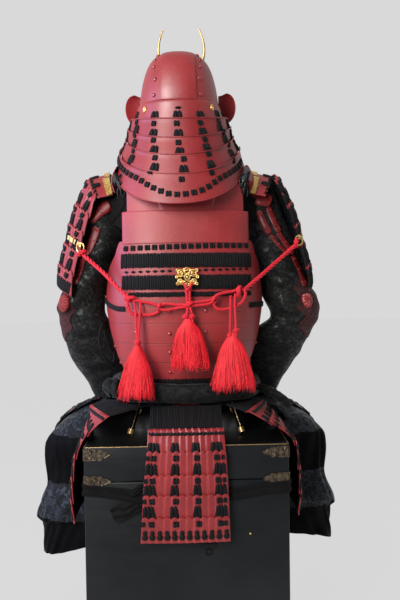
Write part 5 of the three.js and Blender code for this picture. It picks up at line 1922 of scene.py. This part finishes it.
for side, hand in hands:
    title = hand.title()
    heart = Vector((side * 150, 15, 950)) * mm
    surface = lambda across, rim: guardPoint(side, across, rim + 0.03)
    onCap = lambda across, rim: guardPoint(side, across, rim, cap=True)
    lames = addSlattedLames("guardLames" + title, surface, heart, 5, 14, columns=6)
    finished(lames, "lameRed", "red_lacquer", "guard_lames_" + hand)
    # The inner faces of the guard's lames are painted dark: painted shade.
    shadeInside(lames, heart, "lining")
    lacing = dict(guardLacing)
    if side > 0:
        lacing["short"] = [(-0.95, k + step) for k in range(5) for step in (0.3, 0.72)]
    laces = laceUp("guardLaces" + title, lapped(surface, heart, 5), heart, lacing, size=1.22)
    finished(laces, "lace", "black_lace")

    # The cap over the shoulder and its upright flange towards the neck.
    def placeCap(u, v):
        return lifted(onCap, mix(-1, 1, u), mix(-0.03, -1.0, v), heart, 1.2 + 2.0 * (1 - v) ** 3, 0.03, 0.03)

    def placeFlange(u, v):
        y, bulge = mix(-73, 82, u), sin(pi * v)
        low = 1104 + 34 * sin(pi * min(u * 1.1, 1))
        high = 1158 + 22 * sin(pi * (0.18 + 0.64 * u))
        return Vector((side * (167 + 11 * bulge - 6 * v - 5 * u), y, mix(low, high, v))) * mm

    cap = addPlate("cap" + title, placeCap, heart, 26, 12, 2.4, 0.8)
    flange = addPlate("capFlange" + title, placeFlange, Vector((side * 60, 0, 1140)) * mm, 24, 12, 2.4, 0.9)
    whole = joined("guardCap" + title, [cap, flange])
    finished(whole, "lameRed", "red_lacquer", "guard_cap_" + hand)
    # The inner faces of the cap and flange are painted dark: painted shade.
    shadeInside(whole, heart, "lining")
    finished(laceUp("capLaces" + title, onCap, heart, capLacing, lift=2.2), "lace", "black_lace")

    # Gilt hinge plates on the cap.
    hinges = []
    for k, (start, end, low, high) in enumerate([(-1.0, -0.42, -0.98, -0.66), (-0.36, 0.1, -0.98, -0.76)]):
        def placeHinge(u, v):
            return lifted(onCap, mix(start, end, u), mix(high, low, v), heart, 3.6, 0.03, 0.03)

        hinges.append(addMount(f"hinge{k + 1}{title}", placeHinge, heart, 34, 22, 1.8))
    finished(joined("capHinges" + title, hinges), "chasedGold", "gilt")

    # The gilt strap that holds the ring of the cord.
    onGuard = lambda across, rim: guardPoint(side, across, rim)

    def placeStrap(u, v):
        return lifted(onGuard, mix(-1.03, -0.42, u), mix(2.72, 2.5, v), heart, 6.4 + 0.8 * sin(u * 20),
                      0.03, 0.03)

    ringAt = (lifted(onGuard, -1, 2.6, heart, 5.2, 0.03, 0.03) + Vector((0, -5, -8)) * mm) / mm
    ring = facingBack(addRing("cordRing", 12, 1.7, 36, 10), *ringAt, side * 0.6)
    knob = dome("ringKnob", 4.6, 5, 16, 6)
    knob.data.transform(Matrix.Translation(lifted(onGuard, -1, 2.6, heart, 6, 0.03, 0.03)
                                           + Vector((0, -2, 1)) * mm))
    strap = addMount("ringStrap", placeStrap, heart, 26, 8, 0.9)
    mount = joined("ringPlate" + title, [strap, smoothShade(ring), smoothShade(knob)])
    finished(mount, "gold", "gilt", "ring_plate_" + hand)
print("shoulder guards")


# Half outlines of the sleeves, outer and inner, with their middle and depth from back to front.
sleeves = {
    "left": {"side": -1, "columns": ["z", "outer", "inner", "y", "deep"], "rows": [
        (1140, 196, 128, 5, 40), (1097, 222, 130, 2, 46), (1059, 239, 132, 0, 49), (1021, 251, 134, -2, 50),
        (970, 265, 140, -5, 50), (919, 282, 160, -6, 49), (881, 300, 184, -6, 50), (851, 315, 199, -4, 52),
        (817, 321, 204, 0, 54), (792, 319, 196, 6, 54), (765, 316, 182, 18, 54), (724, 310, 166, 44, 52),
        (681, 300, 156, 74, 49), (645, 284, 150, 102, 46), (612, 266, 148, 124, 42),
        (570, 250, 148, 138, 36)]},
    "right": {"side": 1, "columns": ["z", "outer", "inner", "y", "deep"], "rows": [
        (1140, 196, 128, 5, 40), (1093, 240, 130, 2, 46), (1054, 255, 133, 0, 49), (1016, 270, 136, -2, 50),
        (964, 287, 142, -5, 50), (913, 302, 166, -6, 49), (874, 320, 190, -6, 51), (843, 341, 203, -4, 54),
        (815, 348, 219, 0, 56), (792, 342, 222, 6, 56), (772, 336, 198, 12, 56), (757, 331, 178, 20, 56),
        (716, 314, 162, 44, 52), (673, 295, 152, 76, 49), (628, 272, 148, 108, 45), (596, 258, 148, 128, 40),
        (568, 246, 148, 138, 36)]},
}
# Folds of the sleeves: height, reach, depth, slant and middle.
sleeveFolds = [
    (985, 20, 5, 0.35, 0.1), (935, 16, 7, -0.3, -0.4), (893, 14, 6, 0.5, 0.2), (858, 12, 8, 0.45, -0.1),
    (822, 13, 6, -0.35, 0.5), (786, 12, 8, 0.3, -0.3), (748, 13, 7, -0.2, 0.1), (700, 14, 7, 0.4, -0.2),
    (655, 12, 6, -0.3, 0.3), (1035, 18, 4, -0.5, 0.0),
]


# A point of a sleeve. Angle 0 is its back, 90 its outer side.
def sleevePoint(sleeve, angle, z, lift=0.0):
    outer, inner, y, deep = (smooth(sleeve, name, z) for name in ("outer", "inner", "y", "deep"))
    s, c = sin(angle * degree), cos(angle * degree)
    across = copysign(abs(s) ** 0.9, s)
    fold = 0.0
    for height, reach, depth, slant, middle in sleeveFolds:
        shift = (z - height + slant * 60 * across * sleeve["side"]) / reach
        near = exp(-(shift**2)) * exp(-((across - middle) / 0.9) ** 2)
        fold -= depth * near * (1 if abs(shift) < 3 else 0)
        fold += depth * 0.5 * exp(-((shift - 1.7) ** 2) * 1.2)
    fold += 1.8 * sin(z * 0.061 + angle * 0.045 + sleeve["side"])
    fold += 1.1 * sin(z * 0.13 - angle * 0.08)
    middle, half = (outer + inner) / 2, (outer - inner) / 2
    tuck = 62 * max(-across, 0) ** 1.4 * min(max((z - 830) / 60, 0), 1)
    return Vector((sleeve["side"] * (middle + (half + lift) * across + fold * s * 0.35),
                   y + tuck - (deep + lift + fold) * copysign(abs(c) ** 0.9, c), z)) * mm


# The sleeve's point nearest the back over x.
def sleeveBack(sleeve, x, z, lift):
    outer, inner = smooth(sleeve, "outer", z), smooth(sleeve, "inner", z)
    across = min(max((abs(x) - (outer + inner) / 2) / ((outer - inner) / 2), -0.98), 0.98)
    angle = degrees(asin(copysign(abs(across) ** (1 / 0.9), across)))
    return sleevePoint(sleeve, angle, z, lift)


# Splints of the arms: half width, bulge and path over the sleeve.
splints = {
    "left": [
        (15, 2.5, [(-180, 1078), (-204, 1066), (-231, 1042)]),
        (11, 2, [(-214, 1024), (-226, 992), (-240, 958)]), (7, 1.5, [(-244, 950), (-258, 918), (-270, 884)]),
    ],
    "right": [
        (17, 3.5, [(173, 1094), (195, 1090), (218, 1086)]),
        (8.5, 1.5, [(189, 1060), (200, 1032), (214, 1003)]),
        (8, 1.5, [(213, 1069), (224, 1040), (237, 1008)]), (5, 1, [(216, 1000), (236, 976), (262, 950)]),
        (6.5, 1.2, [(234, 1006), (252, 982), (274, 953)]), (6.5, 1.5, [(274, 948), (287, 915), (303, 872)]),
    ],
}

cuts = {"sleeve": 0.62, "mail": 0.22, "yoke": 0.1}  # how long each cloth is cut, in metres

for hand, sleeve in sleeves.items():
    title, side = hand.title(), sleeve["side"]
    heart = Vector((side * 235, 20, 880)) * mm

    def placeSleeve(u, v):
        return sleevePoint(sleeve, mix(-180, 180, u), mix(572, 1138, v))

    cloth = addGrid("sleeve" + title, 72, 110, placeSleeve, heart, (0.34, cuts["sleeve"]), closed=True)
    area = areaOf(cloth)
    thicken(cloth, 1.8 * mm)
    finished(cloth, "brocade", "black_brocade", "sleeve_" + hand)
    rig.sheet(cloth, flat=(area / cuts["sleeve"], cuts["sleeve"]), held="draped", rests_on=["stand_frame"])

    parts, studs = [], []
    for k, (half, bulge, path) in enumerate(splints[hand]):
        table = {"columns": ["t", "x", "z"], "rows": [(i / 2, *spot) for i, spot in enumerate(path)]}

        def placeSplint(u, v):
            x, z = smooth(table, "x", v), smooth(table, "z", v)
            dx, dz = (smooth(table, name, min(v + 0.05, 1)) - smooth(table, name, max(v - 0.05, 0))
                      for name in "xz")
            size = hypot(dx, dz) or 1
            off = mix(-1, 1, u) * half * (1 - 0.22 * abs(2 * v - 1) ** 12)
            lift = 3.0 + bulge * (1 - abs(2 * u - 1) ** 3) + 0.7 * (abs(2 * v - 1) > 0.86)
            return sleeveBack(sleeve, x - dz / size * off, z + dx / size * off, lift)

        parts.append(addPlate(f"splint{k + 1}{title}", placeSplint, heart, 12, 22, 2, 0.6))
        studs += [seatOn(placeSplint, u, v, heart, 0.2, steps=(0.04, 0.03))
                  for u in (0.28, 0.72) for v in (0.12, 0.5, 0.88)]
    plates = joined("splints" + title, parts)
    finished(plates, "darkRed", "dark_red_iron", "splints_" + hand)
    finished(copied("splintStuds" + title, dome("stud", 2.0, 1.7, 10, 4), studs), "rivetRed", "dark_red_iron")

    # Mail on the outer side of the elbow and between the splints.
    def placeMail(u, v):
        ragged = 6 * sin(v * 23)
        edge = (4 if side > 0 else 14) + 44 * (1 - sin(pi * v)) + ragged
        return sleevePoint(sleeve, mix(edge, 150, u), mix(736, 912, v), 1.6)

    mailPatch = addPlate("elbowMail" + title, placeMail, heart, 40, 60, 1.4, 0.2)
    finished(mailPatch, "mail", "dark_red_iron")
    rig.sheet(mailPatch, flat=(areaOf(mailPatch) / 2 / cuts["mail"], cuts["mail"]), held="stretched",
             rests_on=[cloth])

    # The fluted cap over the elbow.
    onSleeve = lambda angle, z: sleevePoint(sleeve, angle, z)
    seat = seatOn(onSleeve, 26 if side > 0 else 35, 836, heart, 2.4, steps=(2, 2))
    bpy.ops.mesh.primitive_uv_sphere_add(segments=72, ring_count=20, radius=1)
    cap = rename(bpy.context.object, "elbowCap" + title)
    for vertex in cap.data.vertices:
        x, y, z = vertex.co
        turn, reach = atan2(y, x), hypot(x, y)
        flute = 1 - 0.34 * (0.5 + 0.5 * cos(12 * turn)) ** 2 * min(reach * 1.6, 1)
        vertex.co = (x * 17 * mm, y * 22 * mm, (z * 12 * flute if z > 0 else z * 2) * mm)
    cap.data.transform(seat)
    finished(smoothShade(cap, 50), "lameRed", "dark_red_iron", "elbow_cap_" + hand)

# A black tie that hangs in loops from the left sleeve.
tieThick = 4.5
tieLine = [(-206, -46, 786), (-213, -55, 752), (-209, -52, 716), (-196, -40, 690), (-184, -28, 684),
           (-180, -26, 704), (-190, -38, 736), (-200, -50, 768), (-196, -48, 742), (-184, -30, 712)]
tie, tiePath, tieLength = addRope("sleeveTie", tieLine, tieThick)
finished(tie, "lace", "black_lace")
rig.cord(tie, exit=tiePath[0], length=tieLength, diameter=tieThick * mm, far_end="bare", stiffness="limp",
        lay="hanging", path=tiePath)

# Black cloth under each cap, from the nape plate out to the sleeve, and the knotted toggle over it.
toggle = [
    (8.5, [(162, -86, 1150), (155, -99, 1130), (148, -101, 1108), (146, -99, 1096)]),
    (5.5, [(150, -94, 1146), (140, -99, 1138), (138, -101, 1122), (146, -103, 1112), (156, -101, 1122),
           (155, -97, 1138), (148, -95, 1146)]),
    (5, [(160, -96, 1128), (150, -104, 1126), (141, -103, 1118), (139, -99, 1104), (144, -98, 1092)]),
    (4.5, [(152, -100, 1118), (157, -98, 1104), (155, -96, 1090)]),
]
for side, hand in hands:
    lump = unevenness(60 + side, 5, 2, 9)

    def placeYoke(u, v):
        top = mix(1140, 1092, min(u * 1.5, 1))
        z = mix(1000 + 46 * u, top, v) + 4 * lump(u * 5) * (1 - v)
        y = -86 + 56 * u + 5 * lump(u * 4 + v * 3) - 10 * sin(pi * v) * (1 - u)
        return Vector((side * mix(116, 206, u), y, z)) * mm

    yoke = addGrid("yoke" + hand.title(), 34, 30, placeYoke, Vector((0, 200, 1080)) * mm, (0.12, 0.1))
    area = areaOf(yoke)
    thicken(yoke, 1.8 * mm)
    finished(yoke, "cotton", "black_cloth")
    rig.sheet(yoke, flat=(area / cuts["yoke"], cuts["yoke"]), held="draped",
             rests_on=["shoulder_strap_" + hand])

    # The knotted black toggle that holds the guard to the shoulder strap.
    parts = [addWire("toggleCord", [(side * x, y, z) for x, y, z in points], thick)
             for thick, points in toggle]
    finished(joined("toggle" + hand.title(), parts), "lid", "black_cloth")
print("sleeves")


# The thigh guards: satin and figured silk, with uneven hanging folds.
skirtHems = {
    "left": {"columns": ["angle", "low", "step"],
             "rows": [(0, 180, 258), (90, 182, 262), (128, 190, 270), (157, 218, 284)]},
    "right": {"columns": ["angle", "low", "step"],
              "rows": [(0, 186, 266), (90, 198, 284), (128, 222, 308), (157, 242, 330)]},
}
skirtForm = {"foot": 180, "step": 256, "top": 575, "turn": 156, "hip": 127.5, "cut": 0.42}
for side, hand in hands:
    fold, hems = unevenness(72 + side, 7, 3, 17), skirtHems[hand]

    def placeSkirt(u, v):
        foot, middle, top = skirtForm["foot"], skirtForm["step"], skirtForm["top"]
        low, step = (smooth(hems, name, skirtForm["turn"] * u) for name in ("low", "step"))
        z = mix(low, top, v)
        if z < step:
            level = foot + (z - low) / (step - low) * (middle - foot)
        else:
            level = middle + (z - step) / (top - step) * (top - middle)
        angle = mix(1.0, mix(skirtForm["turn"], skirtForm["hip"], min(max((level - 480) / 70, 0), 1)), u)
        out = normalOf(lambda a, h: skirtPoint(side, a, h), angle, level, skirtHeart, 0.8, 0.8)
        loose = min((top - level) / 120, 1) * (0.35 + 0.65 * abs(sin(angle * degree)))
        deep = 7 * fold(u * 6.28 + 0.5 * sin(z * 0.012)) + 3 * sin(z * 0.03 + angle * 0.13)
        sag = 2.4 * sin(z * 0.045 + 2 * fold(u * 3)) * (1 - abs(2 * v - 1))
        point = skirtPoint(side, angle, level) + out * ((deep * loose + sag) * mm)
        return Vector((point.x, point.y, z * mm))

    cloth = addGrid("thighGuard" + hand.title(), 110, 90, placeSkirt, skirtHeart, (0.5, 0.4))
    area = areaOf(cloth)
    thicken(cloth, 2 * mm)
    finished(cloth, "satin", "black_cloth", "thigh_guard_" + hand)
    cloth.data.materials.append(look["panelBrocade"])
    for face in cloth.data.polygons:
        if face.center.z > 0.492 or 0.016 < face.center.z - hems["rows"][1][2] * mm < 0.11:
            face.material_index = 1
    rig.sheet(cloth, flat=(area / skirtForm["cut"], skirtForm["cut"]), held="hung", rests_on=["waist_roll"])

# The sash round the chest, pleated lengthwise, with one loose fold and a bow.
sashForm = {"half": 233.4, "tall": 13.5}
sashLine = {"columns": ["turn", "z"], "rows": [(0, 404), (18, 406), (45, 424), (90, 440), (180, 462)]}
pleat = unevenness(91, 6, 2, 13)


def placeSash(u, v):
    angle = mix(0, 360, u)
    turn = 360 - angle if angle > 180 else angle
    s, c = sin(angle * degree), cos(angle * degree)
    reach = sashForm["half"] / max(abs(s), abs(c))
    crease = 1.5 * sin(v * 9 + 2.5 * pleat(u * 6.28)) + 1.3
    out = Vector((s, -c, 0)) * crease
    z = smooth(sashLine, "z", turn) + mix(-1, 1, v) * sashForm["tall"] * (1 + 0.1 * pleat(u * 6.28 + v))
    return (Vector((reach * s, -reach * c, z)) + out) * mm


sash = addGrid("sashBand", 200, 12, placeSash, Vector((0, 0, 430)) * mm, (1.86, 0.1), closed=True)
sashArea = areaOf(sash)
thicken(sash, 1.4 * mm)
finished(sash, "cotton", "black_cloth", "sash")
sashLoop = 8 * sashForm["half"] * mm
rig.sheet(sash, flat=(sashLoop, sashArea / sashLoop), held="folded", rests_on=["box_body"])


# A wing of the bow: narrow at the knot and wide at its end, with pleats that fan out.
def addWing(name, knot, tip, narrow, wide, seed, rise):
    wave = unevenness(seed, 5, 1, 4)
    knot, tip = Vector(knot), Vector(tip)
    along = (tip - knot).normalized()
    up = Vector((0, -1, 0)).cross(along)

    def place(u, v):
        width = mix(narrow, wide, u**0.8) * (1 - 0.25 * max(u - 0.8, 0) / 0.2 * abs(2 * v - 1))
        bulge = rise * sin(pi * min(u * 1.1, 1)) * (0.5 + 0.5 * cos((v - 0.5) * pi))
        pleats = 2.2 * sin(v * 13 + wave(u * 3) * 2) * (0.4 + 0.6 * u)
        return (knot.lerp(tip, u) + up * ((v - 0.5) * width) + Vector((0, -bulge - pleats, 0))) * mm

    wing = addGrid(name, 34, 26, place, (knot + Vector((0, 100, 0))) * mm, (0.09, 0.05))
    area = areaOf(wing)
    thicken(wing, 1.4 * mm)
    finished(wing, "cotton", "black_cloth")
    length = (tip - knot).length * mm
    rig.sheet(wing, flat=(area / length, length), held="folded", rests_on=["box_body"])


addWing("bowLoop", (-100, -239, 392), (-168, -239, 368), 16, 40, 94, 5)
addWing("sashFold", (-126, -237, 413), (-98, -237, 431), 11, 15, 95, 2)
print("thigh guards and sash")


chest = {"side": 460, "seam": 440, "top": 520, "round": 3, "gap": 0.6}


def addBlock(name, width, depth, low, high, roundness=2.0):
    bpy.ops.mesh.primitive_cube_add(size=1, location=(0, 0, 0))
    piece = rename(bpy.context.object, name)
    piece.data.transform(Matrix.Translation((0, 0, (low + high) / 2 * mm)) @ Matrix.Diagonal(
        (width * mm, depth * mm, (high - low) * mm, 1)))
    modify(piece, "BEVEL", width=roundness * mm, segments=3, limit_method="ANGLE")
    return smoothShade(piece)


wide, seam, gap = chest["side"], chest["seam"], chest["gap"]
bodyBlock = addBlock("chestBody", wide, wide, 0, seam - gap, chest["round"])
lidBlock = addBlock("chestLid", wide, wide, seam + gap, chest["top"], chest["round"])
neckBlock = addBlock("chestSeam", wide - 5, wide - 5, seam - 1.5, seam + 1.5)
finished(bodyBlock, "box", "black_lacquer", "box_body")
finished(lidBlock, "box", "black_lacquer", "box_lid")
lidBlock.data.materials.append(look["lid"])
for face in lidBlock.data.polygons:
    if face.normal.z > 0.9:
        face.material_index = 1
finished(neckBlock, "gloss", "black_lacquer")
for name in [n for n in frame["nodes"] if n.startswith("stand")]:
    dressNode(name, "gloss")

# Bronze corner mounts: a trefoil outline that points in from the corner, with a raised rim.
mount = {
    "outline": [(0, 13), (25, 13), (29, 9.5), (33, 12.5), (39, 12.5), (43, 7.5), (48, 7.5), (54, 4.5),
                (61, 0)],
    "heights": (502, 442), "edge": 229.5,
}


def addCornerMount(level, side):
    half = mount["outline"]
    edge = half + [(x, -z) for x, z in half[-2::-1]]
    shape = bmesh.new()
    rings = []
    for shrink, rise in ((1.0, 0.2), (1.0, 1.8), (0.9, 1.9), (0.84, 1.3)):
        ring = []
        for x, z in edge:
            across = mount["edge"] - (26 + (x - 26) * shrink)
            ring.append(shape.verts.new((side * across * mm, (-230 - rise) * mm, (level + z * shrink) * mm)))
        rings.append(ring)
    count = len(edge)
    for low, high in zip(rings, rings[1:]):
        for k in range(count):
            shape.faces.new((low[k], low[(k + 1) % count], high[(k + 1) % count], high[k]))
    shape.faces.new(rings[-1])
    shape.faces.new(rings[0][::-1])
    return editAll(pieceFrom("cornerMount", shape), bpy.ops.mesh.normals_make_consistent, inside=False)


def turned(piece, quarter):
    twin = piece.copy()
    twin.data = piece.data.copy()
    bpy.context.scene.collection.objects.link(twin)
    twin.data.transform(Matrix.Rotation(quarter * pi / 2, 4, "Z"))
    return twin


corners = [(level, side) for level in mount["heights"] for side in (-1, 1)]
mounts = [addCornerMount(level, side) for level, side in corners]
mounts += [turned(piece, quarter) for piece in list(mounts) for quarter in (1, 2, 3)]
for level, side in corners:
    for x, z in ((6, 8), (6, -8), (47, 0)):
        nail = dome("mountNail", 1.7, 1.4, 10, 4)
        mounts.append(facingBack(nail, side * (mount["edge"] - x), -231.6, level + z))
finished(joined("cornerMounts", mounts), "bronze", "gilt")

# A fine brass line along the lid's top edges.
edging = []
for quarter in range(4):
    bar = shifted(addBlock("lidLine", 452, 1.2, 0, 1.4, 0.3), 0, -229.6, 518)
    bar.data.transform(Matrix.Rotation(quarter * pi / 2, 4, "Z"))
    edging.append(bar)
finished(joined("lidEdging", edging), "horn", "gilt")

# The old latch below the panel: a small dark plate, its ring and one gilt stud.
latchPlate = shifted(addBlock("latchPlate", 40, 2.2, 0, 15, 0.8), 47, -230.6, 284)
latchRing = smoothShade(facingBack(addRing("latchRing", 7, 1.3, 32, 8), 47, -232.5, 278))
finished(joined("boxLatch", [latchPlate, latchRing]), "gloss", "black_lacquer")
stud = facingBack(dome("boxStud", 2.4, 1.8, 16, 5), 141, -230, 317)
finished(smoothShade(stud), "gold", "gilt")


# Brass ferrules on the feet of the stand, with two turned rings each.
ferrules = []
for x, y in ((-134, -130), (134, -130), (-134, 130), (134, 130)):
    foot, knee = Vector((x, y, 524)), Vector((x * 100 / 134, y * 70.5 / 130, 632))
    step = (knee - foot).normalized()
    ferrules.append(addWire("ferrule", [tuple(foot + step * k) for k in (0, 4, 8, 12)], 14.5))
    for k in (2.5, 10):
        ferrules.append(addWire("ferruleRing", [tuple(foot + step * (k + j)) for j in (0, 0.8, 1.6)], 17))
    # A thin gilt line along the side of each leg towards the back stands in for the bright streak on its lacquer: a
    # painted highlight.
    line = [tuple(foot + step * k + Vector((0, -6.2, 1.5))) for k in (14, 40, 70, 96)]
    ferrules.append(addWire("legInlay", line, 1.6))
finished(joined("standFerrules", ferrules), "horn", "gilt")
print("chest and stand")


# A pierced gilt ornament of scrolls round a ring, alike on both sides.
def scroll(x, z, start, end, turns, phase, hand=1):
    points = []
    for k in range(int(turns * 14) + 1):
        t = k / (turns * 14)
        a, r = phase + hand * t * turns * 2 * pi, mix(start, end, t)
        points.append((x + r * cos(a), -2.2 * t * (1 - t) * 3, z + r * sin(a)))
    return points


ornament = {
    "middle": (7, -170, 897),
    "wires": [
        (3.2, scroll(14.5, 9.5, 8.6, 1.6, 1.6, 3.4, -1)), (3.2, scroll(15, -9.5, 8.2, 1.6, 1.6, 2.9)),
        (2.6, scroll(4.6, 16.4, 4.6, 1.2, 1.2, -1.4)), (2.6, scroll(5.4, -16.4, 4.4, 1.2, 1.2, 1.6, -1)),
        (2.6, scroll(23.4, 0.0, 4.4, 1.0, 1.3, 2.6, -1)), (2.4, scroll(22.5, 15.0, 3.8, 1.2, 1.1, 3.0, -1)),
        (2.4, scroll(22.5, -15.2, 3.6, 1.2, 1.1, 3.2)),
        (2.4, [(0, -1, 8), (4, -2, 10), (7, -1, 15), (4, 0, 20.5), (0, 0, 22)]),
        (2.4, [(0, -1, -8), (4, -2, -10), (8, -1, -13.5), (5, 0, -19), (0, 0, -21)]),
        (2.2, [(6, -1, 2), (10, -2, 3), (14, -2, 1), (19, -1, 2), (24, 0, 5)]),
    ],
    "bosses": [(0, 0, 3.6), (14.5, 9.5, 2.6), (-14.5, 9.5, 2.6), (15, -9.5, 2.6), (-15, -9.5, 2.6),
               (0, 15, 2.2), (0, -14.5, 2.2)],
}
px, py, pz = ornament["middle"]
parts = [addWire("scroll", [(px + side * x, py + y, pz + z) for x, y, z in points], thick)
         for thick, points in ornament["wires"] for side in (-1, 1)]
for x, z, size in ornament["bosses"]:
    boss = dome("ornamentBoss", size, size * 0.8, 18, 6)
    parts.append(smoothShade(facingBack(boss, px + x, py + 0.5, pz + z)))
parts.append(smoothShade(facingBack(addRing("ornamentRing", 6.4, 1.6, 40, 10), px, py - 1.5, pz)))
finished(joined("giltOrnament", parts), "gold", "gilt", "gilt_plate")
for model in laceModels.values():
    bpy.data.objects.remove(model)
print("ornament")

low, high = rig.bounds()
with open("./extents.json", "w") as file:
    json.dump({"cad": [list(cadLow), list(cadHigh)], "visual": [list(low), list(high)]}, file)
